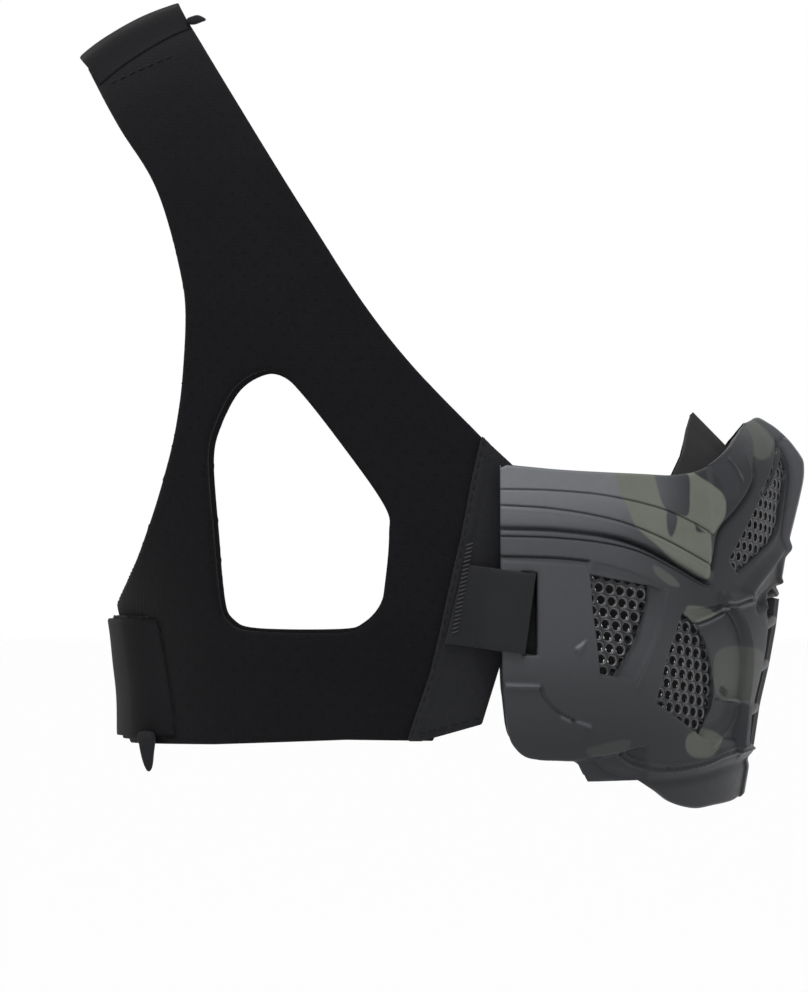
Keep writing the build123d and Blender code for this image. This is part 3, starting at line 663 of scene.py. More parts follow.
def plastic_material(name, colour, rough=0.45):
    paint = Finish(name)
    big = paint.noise(120.0, 3.0)
    roughness = paint.ramp(big, [(0.2, rough - 0.05), (0.8, rough + 0.07)])
    normal = paint.bump(paint.noise(2400.0, 2.0), 0.15, 0.0001)
    return paint.shade(paint.varied(big, colour, 0.15), roughness, 0.2, normal)


def steel_material(name, colour, rough, metal, gloss=0.5):
    """Painted metal, with a painted highlight on the rims of its holes and painted shade, near black, deep in the
    holes and on its inner side.
    """
    paint = Finish(name)
    big = paint.noise(260.0, 4.0)
    # rim: painted highlight on the holes' rims; inner: painted shade, near black
    tone = paint.mix(paint.layer("rim"), paint.varied(big, colour, 0.3), (0.088, 0.089, 0.094, 1))
    tone = paint.mix(paint.layer("inner"), tone, (0.002, 0.002, 0.0022, 1))
    roughness = paint.ramp(big, [(0.2, rough - 0.06), (0.8, rough + 0.12)])
    normal = paint.bump(paint.noise(3000.0, 2.0), 0.2, 0.00008)
    return paint.shade(tone, roughness, gloss, normal, metallic=metal)


def fabric_material(name, colour, weave, fuzz, rough=0.9, mottle=0.2, depth=0.00012, cell=None):
    """Woven or brushed cloth: crossed fine waves with noise, a soft sheen and slight tone changes. cell adds
    staggered dimples, that many millimetres apart, which follow the cloth round the head, with painted shade
    darkening their hollows."""
    paint = Finish(name)
    speck = paint.noise(900.0, 3.0)
    flecks = paint.ramp(speck, [(0.35, 0.86), (0.62, 1), (0.8, 1.25)])
    tone = paint.mix(1.0, paint.varied(paint.noise(45.0, 4.0), colour, mottle), flecks, "MULTIPLY")
    yarn = {"Scale": weave / 6.283, "Distortion": 1.2, "Detail": 1.0, "Detail Scale": 3.0}
    threads = paint.node("Math", {0: paint.wave("Y", yarn), 1: paint.wave("Z", yarn)}, operation="MULTIPLY")
    normal = paint.bump(speck, 0.5, depth * 1.6, below=paint.bump(threads.outputs[0], 0.5, depth))
    if cell:
        place = paint.node("CombineXYZ", {"X": paint.layer("over"), "Y": paint.layer("up")}).outputs["Vector"]
        turned = {"Rotation": (0, 0, math.radians(45)), "Scale": (1 / cell, 1 / cell, 1)}
        cells = {"Vector": paint.node("Mapping", {"Vector": place, **turned}).outputs["Vector"]}
        cells.update({"Scale": 1.0, "Randomness": 0.12})
        distance = paint.node("TexVoronoi", cells, voronoi_dimensions="2D").outputs["Distance"]
        dimple_and_shade = paint.ramp(distance, [(0, 0), (0.06, 0.2), (0.2, 1)])
        normal = paint.bump(dimple_and_shade, 0.25, 0.0003, below=normal)
        # painted shade in the dimples' hollows
        tone = paint.mix(dimple_and_shade, (0.0030, 0.0030, 0.0036, 1), tone)
    return paint.shade(tone, rough, 0.06, normal, sheen_weight=fuzz, sheen_roughness=0.5)


def webbing_material():
    """Flat elastic: fine ribs across the strap and a satin face."""
    paint = Finish("webbing", turn=-7.0)
    tone = paint.mix(paint.noise(80.0, 3.0), (0.0085, 0.0088, 0.0095, 1), (0.0115, 0.0119, 0.0130, 1))
    ribs = paint.bump(paint.wave("Z", {"Scale": 330.0, "Distortion": 0.4}), 0.3, 0.00004)
    knit = paint.bump(paint.wave("Y", {"Scale": 520.0, "Distortion": 0.8}), 0.25, 0.00003, below=ribs)
    return paint.shade(tone, 0.62, 0.08, knit, sheen_weight=0.03)


CAMO = camo_material()
GRILLE = plastic_material("grille_plastic", (0.020, 0.021, 0.023))
STEEL = steel_material("mesh_steel", (0.014, 0.0145, 0.016), 0.42, 0.45, gloss=0.15)
SCREW = steel_material("screw_steel", (0.16, 0.16, 0.165), 0.28, 1.0)
SADDLE = plastic_material("saddle_rubber", (0.0058, 0.0060, 0.0068), 0.62)
NEOPRENE = fabric_material("neoprene", (0.0042, 0.0042, 0.0050), 1900.0, 0.02, cell=5.0)
TRIM = fabric_material("nylon_trim", (0.0105, 0.0108, 0.0120), 3800.0, 0.03, rough=0.72, mottle=0.12)
TAB = fabric_material("tab_fabric", (0.0040, 0.0040, 0.0048), 3000.0, 0.03)
LOOP = fabric_material("loop_fabric", (0.0045, 0.0045, 0.0050), 1500.0, 0.08, depth=0.0003)
HOOK = fabric_material("hook_tape", (0.0055, 0.0055, 0.0062), 3400.0, 0.03, depth=0.0003)
FOAM = fabric_material("pad_foam", (0.010, 0.010, 0.011), 2000.0, 0.06)
WEBBING = webbing_material()
THREAD = fabric_material("thread", (0.032, 0.032, 0.034), 5000.0, 0.06, rough=0.7)
BLACK_THREAD = fabric_material("black_thread", (0.0075, 0.0075, 0.0082), 5000.0, 0.03, rough=0.75)


def blend_piece(ob, bodies, start, end, slot_name, *nodes):
    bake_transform(ob)
    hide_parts(*nodes)


def finish_piece(ob, body, slot_name, *nodes):
    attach(ob, body)
    if nodes:
        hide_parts(*nodes)


# ------------------------------------------------------------------ build the shell
SHELL_ROWS, SHELL_COUNT = (185, 22, 14, 26, 20, 86), 420


def top_of(t):
    """The level of the shell's top edge at each share of the arc."""
    edge = walls(TOP_EDGE)
    arcs = np.interp(edge[:, 1], _level_z, TABLE_ARC)
    return np.interp(t, edge[:, 0] / arcs, edge[:, 1])


def build_shell():
    t = np.linspace(0, 1, SHELL_COUNT)
    levels = [np.full(t.shape, -93.5)]
    for k in (5, 4, 3, 2, 1):
        level = np.full(t.shape, -10.0)
        for _ in range(8):
            level = band_level(k, t * np.interp(level, _level_z, TABLE_ARC))
        levels.append(level)
    levels.append(top_of(t) + 0.22)
    s, x, y, z = guided_grid(levels, SHELL_ROWS, SHELL_COUNT)
    values = (relief(s, x, z), keep_field(s, x, z), *camo_fields(s, z), tone_field(s, y, z))
    s, x, y, z, proud, kept, olive, dark, tone = both_halves(s, x, y, z, *values)
    base = np.stack([x, y, z], axis=-1)
    n = outward(base, (10, 10), 0, -1)
    free_olive = blobs(s, z, count=16, seed=5, size=13.0, low=0.9, high=1.02)
    free_dark = blobs(s, z, count=8, seed=9, size=10.0, low=0.85, high=1.05)
    to_left = step(x, 2.0, 10.0)
    olive = olive * (1 - to_left) + free_olive * to_left
    dark = dark * (1 - to_left) + free_dark * to_left * (1 - free_olive)
    # painted highlight down the front of the nose ridge, where the olive is left off
    ridge_highlight = (1 - step(np.abs(x), 6.0, 8.0)) * step(z, -24.0, -14.0)
    tone = np.maximum(tone, 0.34 * ridge_highlight)
    olive = np.clip(olive * (1 - ridge_highlight), 0, 1)
    outer = base + n * (proud - rounded(kept, 0.9, 0.55))[..., None]
    inner = base - n * (WALL - rounded(kept, 0.7, 0.3))[..., None]
    paint = {"olive": olive, "dark": dark, "tone": tone}
    # inner face painted near black: black plastic inside, and painted shade for the mask's dark inside
    black_inside_and_shade = {"olive": 0.0, "dark": 1.0, "tone": 0.0}
    ob = slab("face_shell_camo", outer, inner, kept, CAMO, chamfer=0.05, attributes=paint, behind=black_inside_and_shade)
    finish_piece(soften(ob, 60.0), "shell", "shell_camo", "face_shell")


build_shell()


# ------------------------------------------------------------------ perforated sheets
def wall_point(s, z, inset):
    """Points of the right wall at (arc length, z), moved inwards; arc lengths past the nose line go to the left."""
    out = []
    for sk, zk in zip(s, z):
        x, y, arc = section(zk)
        over = sk > arc[-1]
        t = 2 * arc[-1] - sk if over else sk
        px, (ax, bx) = np.interp(t, arc, x), np.interp([t + 0.2, t - 0.2], arc, x)
        py, (ay, by) = np.interp(t, arc, y), np.interp([t + 0.2, t - 0.2], arc, y)
        nx, ny = by - ay, ax - bx
        length = math.hypot(nx, ny) or 1.0
        nx, ny = nx / length, ny / length
        if nx < 0 or (abs(nx) < 1e-6 and ny > 0):
            nx, ny = -nx, -ny
        px, py = px - nx * inset, py - ny * inset
        out.append((px if over else -px, py, zk))
    return np.array(out)


LATTICE = np.array([(3.75, -0.50), (0.80, -3.60)])  # from one hole to its neighbours, along the rows and down
SIDES = 16  # points round a hole


def perforated(name, outline, margin, inset=3.0, thick=0.8, hole=1.3, shift=(0, 0)):
    """A sheet of skewed square cells with a dimpled round hole in each, laid along the wall."""
    a, b = LATTICE
    low, high = outline.min(axis=0) - margin, outline.max(axis=0) + margin
    reach = int(max(high - low) / 3.0) + 3
    steps = [(i, j) for i in range(-reach, reach) for j in range(-reach, reach)]
    centres = np.array([(low + high) / 2 + a * (i + shift[0]) + b * (j + shift[1]) for i, j in steps])
    centres = centres[region_field(centres[:, 0], centres[:, 1], outline) > -margin]
    # radius, depth and how much painted highlight each ring of a cell gets on the hole's rim; no radius is the cell's
    # own edge
    dish = min(1.0, thick / 0.8)
    rings = [(None, 0.0, 0.0), (hole + 0.4, 0.02 * dish, 0.4), (hole + 0.24, 0.12 * dish, 1.0)]
    rings += [(hole + 0.06, 0.36 * dish, 1.0), (hole, 0.55 * dish, 0.1)]
    rings += [(hole, thick * 0.9, 0.0), (hole + 0.15, thick, 0.0), (None, thick, 0.0)]
    points, depths, rims, faces = [], [], [], []
    for centre in centres:
        start = len(points)
        for radius, depth, rim in rings:
            for k in range(SIDES):
                c, d = math.cos(2 * math.pi * k / SIDES), math.sin(2 * math.pi * k / SIDES)
                corner = (a * c + b * d) / (2 * max(abs(c), abs(d)))
                points.append(centre + (corner if radius is None else corner / np.linalg.norm(corner) * radius))
                depths.append(depth)
                rims.append(rim)
        faces += tube_faces(start, len(rings), SIDES, capped=False)
    (s, z), depths = np.array(points).T, np.array(depths)
    on_face, deeper = wall_point(s, z, inset), wall_point(s, z, inset + thick)
    ob = new_object(name, on_face + (deeper - on_face) * (depths / thick)[:, None], faces, STEEL)
    # inner: where the painted shade goes, deep in the holes and on the back; rim: where the painted highlight goes
    add_layers(ob, {"inner": np.clip((depths / thick - 0.45) / 0.3, 0, 1), "rim": rims})
    with edited(ob) as bm:
        bmesh.ops.remove_doubles(bm, verts=bm.verts, dist=0.00004)
        bmesh.ops.recalc_face_normals(bm, faces=bm.faces)
    return smooth(ob)


def tube_faces(start, rings, count, capped=True):
    """Faces between rings of points, count to a ring, whose numbers begin at start."""
    faces = []
    for first in range(start, start + (rings - 1) * count, count):
        for k in range(count):
            a, b = first + k, first + (k + 1) % count
            faces.append([a, b, b + count, a + count])
    last = start + (rings - 1) * count
    caps = [[start + k for k in range(count)][::-1], [last + k for k in range(count)]]
    return faces + (caps if capped else [])


def mirror_copy(ob, name):
    mesh = ob.data.copy()
    co = read_points(mesh) * (-1, 1, 1)
    mesh.vertices.foreach_set("co", co.astype(np.float32).ravel())
    mesh.flip_normals()
    copy = bpy.data.objects.new(name, mesh)
    bpy.context.scene.collection.objects.link(copy)
    return copy


def read_points(mesh):
    co = np.zeros(len(mesh.vertices) * 3, np.float32)
    mesh.vertices.foreach_get("co", co)
    return co.reshape(-1, 3)


SHEET_MARGIN = 2.7  # how far a sheet runs on behind its window's edge
LEFT_HOLE = 1.02  # smaller and shifted on the left, so that little daylight shows through both sides at once
SHEETS = {  # how far inside the wall's face, thickness, hole radius, and the left lattice's shift
    "rear_mesh": (2.75, 0.8, 1.36, (0.875, 0.5)),
    "cheek_mesh": (2.6, 0.8, 1.38, (0, 0.375)),
    "nose_mesh": (1.2, 0.4, 1.2, (0.125, 0.125)),
}


def build_meshes():
    for name, (inset, thick, hole, shift) in SHEETS.items():
        ob = perforated(f"right_{name}_sheet", WINDOWS[name], SHEET_MARGIN, inset, thick, hole)
        finish_piece(ob, "shell", "mesh_steel", "right_" + name)
        other = perforated("unmirrored", WINDOWS[name], SHEET_MARGIN, inset, thick, LEFT_HOLE, shift)
        finish_piece(mirror_copy(other, f"left_{name}_sheet"), "shell", "mesh_steel", "left_" + name)
        bpy.data.objects.remove(other)
    middle = section(-50.0)[2][-1]
    mouth = [(middle + a * 18.0, z) for a, z in ((-1, -74.5), (1, -74.5), (1, -27.5), (-1, -27.5))]
    ob = perforated("mouth_mesh_sheet", np.array(mouth), 0.5, inset=4.9)
    finish_piece(ob, "shell", "mesh_steel", "mouth_mesh")


build_meshes()


# ------------------------------------------------------------------ mouth grille
GRILLE_DEPTH = 4.6


def build_grille():
    x, z = np.meshgrid(np.linspace(-21.0, 21.0, 95), np.arange(-75.0, -27.0, 0.45))
    share = 1 - (np.abs(x) / half_width(z)) ** POWER
    base = np.stack([x, REAR_Y + (front_y(z) - REAR_Y) * share ** (1 / POWER), z], axis=-1)
    n = outward(base, (5, 5), 1, -1)
    field = 3.6 - np.abs(x)
    proud = 1.0 * (1 - step(np.abs(x), 1.6, 3.6)) + 0.2
    for level in (-36.0, -49.0, -62.0):
        away = z - level + 2.0 * (np.abs(x) / 15.0) ** 2
        field = np.maximum(field, 1.7 - np.abs(away))
        proud = np.maximum(proud, 1.1 * np.sqrt(np.clip(1 - (away / 1.7) ** 2, 0, 1)))
        knob = np.hypot(x, z - level) / 3.4
        proud = np.maximum(proud, 1.2 * np.sqrt(np.clip(1 - knob**2, 0, 1)))
    buried = np.maximum(np.abs(x) - 15.4, np.maximum(z + 29.4, -73.2 - z)) > 0
    field = np.maximum(field, np.where(buried, 0.6, -1))
    outer = base + n * np.where(buried, -3.0, proud)[..., None]
    edge = np.minimum(20.0 - np.abs(x), np.minimum(z + 74.6, -28.0 - z))
    ob = slab("mouth_grille_moulding", outer, base - n * GRILLE_DEPTH, np.minimum(field, edge), GRILLE, chamfer=0.3)
    finish_piece(soften(ob, 55.0), "shell", "grille_plastic", "mouth_grille")


build_grille()


# ------------------------------------------------------------------ nose saddle
def build_saddle():
    rows, cols = 60, 81
    u, v = np.meshgrid(np.linspace(-1, 1, cols), np.linspace(0, 1, rows))
    drop = np.sqrt(u**2 + 0.015**2) - 0.015
    fall = np.interp(drop, [0, 0.22, 0.4, 0.65, 1.0], [0, 4.2, 7.4, 12.0, 19.4])
    back = np.interp(drop, [0, 0.22, 0.4, 0.65, 1.0], [0, 1.3, 1.9, 3.1, 6.6])
    wide = 24.5 * np.sign(u) * drop**0.92 * (1 + 0.25 * v)
    p = [wide, -117.9 - 19.0 * v + back * (1 - 0.5 * v), 26.4 - 19.4 * v - fall * (1 - 0.1 * v)]
    p = np.stack(p, axis=-1)
    n = outward(p, (rows // 2, cols // 4), 0, -1)
    field = np.minimum(1 - np.abs(u), np.minimum(v, 1 - v)) * 30.0 + 0.001
    ob = slab("nose_saddle_sheet", p, p - n * 1.5, np.minimum(field, 20.0), SADDLE, chamfer=0.3)
    finish_piece(ob, "shell", "saddle_rubber", "nose_saddle")


build_saddle()


# ------------------------------------------------------------------ foam pads on the shell's inner face
PAD_VOXEL, PAD_SWELL = 0.9 * MM, 0.9 * MM  # remeshing size, and the most that the simulation may move a point
PAD_PRESSURE, PAD_POINT_MASS = 300.0, 0.01  # high and light, because the pads are only 15 mm across


def baked(ob):
    """The object's mesh with its modifiers applied, which takes the place of its own mesh."""
    graph = bpy.context.evaluated_depsgraph_get()
    mesh = bpy.data.meshes.new_from_object(ob.evaluated_get(graph), preserve_all_data_layers=True, depsgraph=graph)
    ob.modifiers.clear()
    old, ob.data = ob.data, mesh
    bpy.data.meshes.remove(old)
    return mesh


GLUE_REACH, CLOTH_FRAMES = 0.9, 20


def near_points(points, others, reach):
    """The numbers of the points within reach of any of the others."""
    tree = KDTree(len(others))
    for k, place in enumerate(others):
        tree.insert(place, k)
    tree.balance()
    return [k for k, place in enumerate(points) if tree.find(place)[2] < reach]


def swollen(ob, glue):
    """Let the pad's cover swell over its foam, as cloth under pressure, held near the points where it is glued on."""
    remesh = ob.modifiers.new("remesh", "REMESH")
    remesh.mode, remesh.voxel_size = "VOXEL", PAD_VOXEL
    mesh = baked(ob)
    start = read_points(mesh)
    ob.vertex_groups.new(name="glued").add(near_points(start / MM, glue, GLUE_REACH), 1.0, "REPLACE")
    cloth = ob.modifiers.new("cloth", "CLOTH")
    settings = cloth.settings
    settings.use_pressure, settings.uniform_pressure_force = True, PAD_PRESSURE
    settings.mass = PAD_POINT_MASS
    settings.vertex_group_mass = "glued"
    settings.effector_weights.gravity = 0.0
    settings.quality = 8
    cloth.collision_settings.use_collision = False
    for number in range(1, CLOTH_FRAMES + 1):
        bpy.context.scene.frame_set(number)
    graph = bpy.context.evaluated_depsgraph_get()
    move = read_points(ob.evaluated_get(graph).data) - start
    far = np.linalg.norm(move, axis=1, keepdims=True)
    move *= np.minimum(1.0, PAD_SWELL / np.maximum(far, 1e-9))
    ob.modifiers.clear()
    bpy.context.scene.frame_set(1)
    mesh.vertices.foreach_set("co", (start + move).ravel())
    ob.vertex_groups.clear()
    finer = ob.modifiers.new("smooth", "SUBSURF")
    finer.levels = finer.render_levels = 1
    baked(ob)
    smooth(ob)


PAD_INSET = 2.95  # from the wall's outer face to the pad's glued face


def build_pad(name, base, n, field, puff):
    """A crowned pad on the shell's inner face, puff thick."""
    near = base - n * PAD_INSET
    ob = slab(name + "_foam", near, near - n * np.maximum(puff, 0.5)[..., None], field, FOAM, chamfer=0.3)
    swollen(ob, near.reshape(-1, 3))
    finish_piece(ob, "shell", "pad_foam", name)


def crowned(field, width):
    return 1 - np.exp(-np.clip(field, 0, None) / width)


def build_pads():
    s, x, y, z = wall_grid(-16.0, 8.0, 31, 160)
    field = region_field(s, z, straight([(-78.5, 3.6), (-107.5, 2.6), (-107.5, -11.6), (-78.5, -11.6)]))
    puff = 5.0 * crowned(field, 1.4) + 0.25 * np.sin(s * 0.7) * np.sin(z * 0.9)
    for side, sign in (("right", -1), ("left", 1)):
        base = np.stack([sign * x, y, z], axis=-1)
        build_pad(side + "_cheek_pad", base, outward(base, (5, 5), 0, sign), field, puff)
    _, x, y, z = both_halves(*wall_grid(-87.0, -78.0, 16, 120))
    field = np.minimum(24.0 - np.abs(x), np.minimum(z + 86.3, -79.0 - z))
    base = np.stack([x, y, z], axis=-1)
    build_pad("chin_pad", base, outward(base, (5, 10), 0, -1), field, 4.8 * crowned(field, 1.2))


build_pads()


# ------------------------------------------------------------------ the head that the harness wraps
HEAD_Z = [-92.0, -60.0, -33.0, 0.0, 30.0, 55.0]
HEAD_Y = [-32.0, -32.0, -30.5, -22.0, -14.0, -9.0]  # middle, half length and half width at those levels
HEAD_LONG = [80.5, 80.5, 81.5, 88.5, 95.0, 98.0]
HEAD_WIDE = [62.0, 67.5, 73.5, 77.0, 78.0, 78.0]
DOME_Z, DOME = 55.0, (-9.0, 98.0, 78.0)  # above this level the head is a dome on one ellipse
DOME_HEIGHT, DOME_POWER = 93.5, 2.4
_head_z = np.arange(-95.0, 55.5, 1.0)
_head = [blurred(np.interp(_head_z, HEAD_Z, values), 14, 8.0) for values in (HEAD_Y, HEAD_LONG, HEAD_WIDE)]


def head_at(z):
    return [np.interp(z, _head_z, values) for values in _head]


def head_grid(spacing, front, back):
    """Rows and angles of a grid over the head's right half: rows go up, columns from the front to the back."""
    rows = [(z, *head_at(z), 0.0, 1.0) for z in np.arange(-82.0, DOME_Z, spacing)]
    for t in np.radians(np.arange(0.0, 86.0, spacing * 0.62))[1:]:
        rows.append((DOME_Z, *DOME, math.sin(t) ** (2 / DOME_POWER), math.cos(t) ** (2 / DOME_POWER)))
    return np.array(rows), np.radians(np.arange(front, back, spacing * 0.68))


def head_surface(rows, theta, grow):
    z, middle, long, wide, lift, shrink = rows.T[:, :, None]
    x = -(wide + grow) * np.cos(theta) * shrink
    y = middle + (long + grow) * np.sin(theta) * shrink
    return np.stack(np.broadcast_arrays(x, y, z + (DOME_HEIGHT + grow) * lift), axis=-1)


PANEL_FRONT = [(-54, 18.9), (-35.1, 38.3), (-19.8, 57.4), (-4.5, 81.1), (10.8, 105.6), (36.6, 148.5)]
PANEL_BACK = [(65.1, 131.8), (54.4, 112), (42.9, 93.4), (35.6, 69), (33.7, 50), (37.6, 17), (48, -15), (56.4, -33)]
EAR = [(6, 37.6), (12, 37.9), (19.5, 33), (25.4, 22), (27.4, 12), (26.2, -8), (24.4, -29.6), (21.6, -36.2),
    (14, -38.9)]
EAR += [(-12, -39.2), (-19, -37.2), (-24, -31.6), (-25.6, -24), (-26.8, -10), (-25.4, -1.6), (-11.5, 18), (0, 32.4)]


def panel_outline():
    corner = [(44, 161), (75, 146)]
    foot = [(80, -33), (80, -72.8), (26, -72.6), (-14, -71), (-40, -71.3), (-60, 12.8)]
    return np.vstack([smooth_line(PANEL_FRONT), corner, smooth_line(PANEL_BACK), foot])


def wobble(p, size, seed):
    """A soft uneven swell, so that cloth doesn't lie as a perfect surface."""
    rng = np.random.default_rng(seed)
    total = np.zeros(p.shape[:2])
    for wave in (14.0, 26.0, 44.0):
        for _ in range(3):
            d = rng.normal(size=3)
            d = d / np.linalg.norm(d)
            total += (wave / 44.0) * np.sin(p @ d * (6.283 / wave) + rng.uniform(0, 6.283))
    return size * total / 3.0


PANEL_FACE = 2.85  # how far the panels' outer face is from the head


def head_piece(name, outline, layer, x_range, mat, spacing=1.1, arc=(-86, 99), side="right", swell=0.25,
               edge_dip=0.25, ear=None, pinch=None, hem=None, sewn=None):
    """A sheet that wraps the head between two distances from it, cut to an outline in (y, z). pinch is the x where
    its right edge lies pressed down on the panel, and sewn the x from which its left end comes down to be sewn on."""
    rows, angles = head_grid(spacing, *arc)
    mid = head_surface(rows, angles, layer[1])
    x, y, z = np.moveaxis(mid, -1, 0)
    field = np.minimum(region_field(y, z, outline), np.minimum(x_range[1] - x, x - x_range[0]))
    if ear is not None:
        field = np.minimum(field, -region_field(y, z, ear) + 1e3 * (x > -20.0))
    move = wobble(head_surface(rows, angles, PANEL_FACE), swell, seed=3)
    squeeze = 1.0 if pinch is None else 0.06 + 0.94 * step(x, pinch, pinch + 17.0)
    root = 1.0 if sewn is None else 1 - step(x, sewn, sewn + 9.0)
    raised = 0.0
    if hem is not None:
        raised = 0.45 * (1 - step(line_field(y, z, smooth_line(hem)), 2.4, 3.3))
    low = PANEL_FACE + (layer[0] - PANEL_FACE) * squeeze * root + move
    thick = (layer[1] - layer[0]) * squeeze * (0.45 + 0.55 * root)
    dip = edge_dip * (1 - step(field, 0.0, 1.6))
    mirror = (-1, 1, 1) if side == "left" else (1, 1, 1)
    outer, inner = (head_surface(rows, angles, grow) * mirror for grow in (low + thick - dip + raised, low))
    over = np.cumsum(np.linalg.norm(np.diff(mid, axis=1, prepend=mid[:, :1]), axis=2), axis=1)
    middle = mid[:, len(angles) // 2]
    rise = np.cumsum(np.linalg.norm(np.diff(middle, axis=0, prepend=middle[:1]), axis=1))
    knit = {"over": over - over[:, [np.argmin(np.abs(angles))]], "up": np.broadcast_to(rise[:, None], field.shape)}
    return recalc(slab(name, outer, inner, field, mat, attributes=knit))


TRIM_SEAM = [(-54.3, 18.9), (-51.6, 7.2), (-48, -11.4), (-44.1, -28.2), (-41.7, -39.6), (-39, -51), (-33.6, -66.6),
    (-32.1, -71.4)]
TRIM_OUTLINE = np.array([(-63.6, 10.4), (-66.6, 5.6), (-66.8, -12), (-64.6, -36), (-59.8, -49), (-54.4, -66.4),
    (-36.4, -71.4), *TRIM_SEAM[::-1]])
CROWN_BAND = np.array([(19, 117), (37, 146.5), (44, 161), (77, 144), (63.4, 130.2), (49, 104.5)])
CROWN_TAB = np.array([(18, 118), (35.8, 147.6), (44, 166), (79.2, 149.2), (64.3, 130.3), (49.6, 103.9)])
NAPE_BAND = np.array([(20, -34.5), (80, -34.5), (80, -71.4), (20, -71.4)])
NAPE_TAB = np.array([(20, -35.5), (80, -35.5), (80, -70.4), (20, -70.4)])
TAB_ROOT = 22.0
# name, outline, layer, x range, material, body, slot, node, flat size in metres, what it lies on
LAYERS = [
    ("crown_loop_pile", CROWN_BAND, (3, 3.7), (-28, 5), LOOP, "right_half", "loop_fabric", "crown_loop_patch",
     (0.035, 0.037), "right_side_panel_cloth"),
    ("nape_loop_pile", NAPE_BAND, (3, 3.7), (-35.5, 5), LOOP, "right_half", "loop_fabric", "nape_loop_patch",
     (0.045, 0.037), "right_side_panel_cloth"),
    ("crown_hook_tape", CROWN_BAND, (4, 4.8), (-27, 4), HOOK, "crown_closure", "hook_tape", "crown_hook_patch",
     (0.034, 0.037), "crown_loop_pile"),
    ("nape_hook_tape", NAPE_BAND, (4, 4.8), (-34.5, 4), HOOK, "nape_closure", "hook_tape", "nape_hook_patch",
     (0.043, 0.037), "nape_loop_pile"),
    ("crown_tab_cloth", CROWN_TAB, (4.9, 6.6), (-33.0, TAB_ROOT), TAB, "crown_closure", "tab_fabric", "crown_tab",
     (0.056, 0.038), "crown_hook_tape"),
    ("nape_tab_cloth", NAPE_TAB, (4.9, 6.6), (-41.0, TAB_ROOT), TAB, "nape_closure", "tab_fabric", "nape_tab",
     (0.067, 0.035), "nape_hook_tape"),
]


def build_harness():
    ear = smooth_line(EAR, closed=True)
    for side, x_end in (("right", 6.0), ("left", -8.0)):
        panel, half = side + "_side_panel_cloth", side + "_half"
        ob = head_piece(panel, panel_outline(), (0.5, 2.8), (-200.0, x_end), NEOPRENE, ear=ear, side=side)
        finish_piece(ob, half, "neoprene", side + "_side_panel")
        ob = head_piece(side + "_front_trim_cloth", TRIM_OUTLINE, (3, 3.9), (-200, -30), TRIM, spacing=0.7,
                        arc=(-60, 10), side=side, swell=0.22, hem=TRIM_SEAM)
        finish_piece(ob, half, "nylon_trim", side + "_front_trim")
    for name, outline, layer, x_range, mat, body, slot_name, node, flat, under in LAYERS:
        is_tab = mat is TAB
        ob = head_piece(name, outline, layer, x_range, mat, spacing=0.9, arc=(20, 116), edge_dip=0.1,
                        pinch=-33.0 if name.startswith("crown") else -41.0, sewn=11.0 if is_tab else None)
        if is_tab:
            blend_piece(ob, ("left_half", body), (0.0150, 0, 0), (0.0090, 0, 0), slot_name, node)
        else:
            finish_piece(ob, body, slot_name, node)


def head_point(y, z, grow):
    """The right-hand point of the head's surface, grown outwards, at side coordinates (y, z)."""
    shrink, (middle, long, wide) = 1.0, head_at(z)
    if z > DOME_Z:
        lift = min(1.0, (z - DOME_Z) / (DOME_HEIGHT + grow))
        shrink, (middle, long, wide) = math.sqrt(max(0.0, 1 - lift**DOME_POWER)) ** (2 / DOME_POWER), DOME
    share = (y - middle) / ((long + grow) * shrink)
    return np.array([-(wide + grow) * shrink * math.sqrt(max(0.0, 1 - share**2)), y, z])


def stitches(name, runs, grow, body, slot_name, mat, pitch, length, thick=0.3, slant=0.0, side="right"):
    """Thread stitches that lie along runs of (y, z) points on the head's surface. slant turns each one."""
    verts, faces = [], []
    for run in runs:
        line = smooth_line(run, steps=10) if len(run) > 2 else np.array(run, float)
        along = np.concatenate([[0], np.cumsum(np.hypot(*np.diff(line, axis=0).T))])
        for at in np.arange(pitch / 2, along[-1], pitch):
            y, z = (np.interp(at, along, line[:, k]) for k in (0, 1))
            dy, dz = (np.interp(at + 0.5, along, line[:, k]) - np.interp(at - 0.5, along, line[:, k]) for k in (0, 1))
            turn = math.atan2(dz, dy) + math.radians(slant)
            c, s = math.cos(turn), math.sin(turn)
            a, b = (head_point(y + k * c, z + k * s, grow) for k in (-length / 2, length / 2))
            run_dir = (b - a) / np.linalg.norm(b - a)
            out = np.cross(run_dir, head_point(y - s, z + c, grow) - head_point(y, z, grow))
            out = out / np.linalg.norm(out) * (1 if out[0] < 0 else -1)
            wide = np.cross(out, run_dir)
            faces += tube_faces(len(verts), 7, 6)
            for u in (-1.0, -0.8, -0.4, 0.0, 0.4, 0.8, 1.0):
                r = thick * math.sqrt(max(0.04, 1 - u * u * 0.96))
                mid = (a + b) / 2 + run_dir * (length / 2) * u + out * 0.12 * (1 - u * u)
                for w in np.arange(6) * math.pi / 3:
                    verts.append(mid + wide * r * math.cos(w) + out * r * 0.7 * math.sin(w))
    ob = new_object(name, np.array(verts) * ((-1, 1, 1) if side == "left" else (1, 1, 1)), faces, mat)
    finish_piece(recalc(ob), body, slot_name)


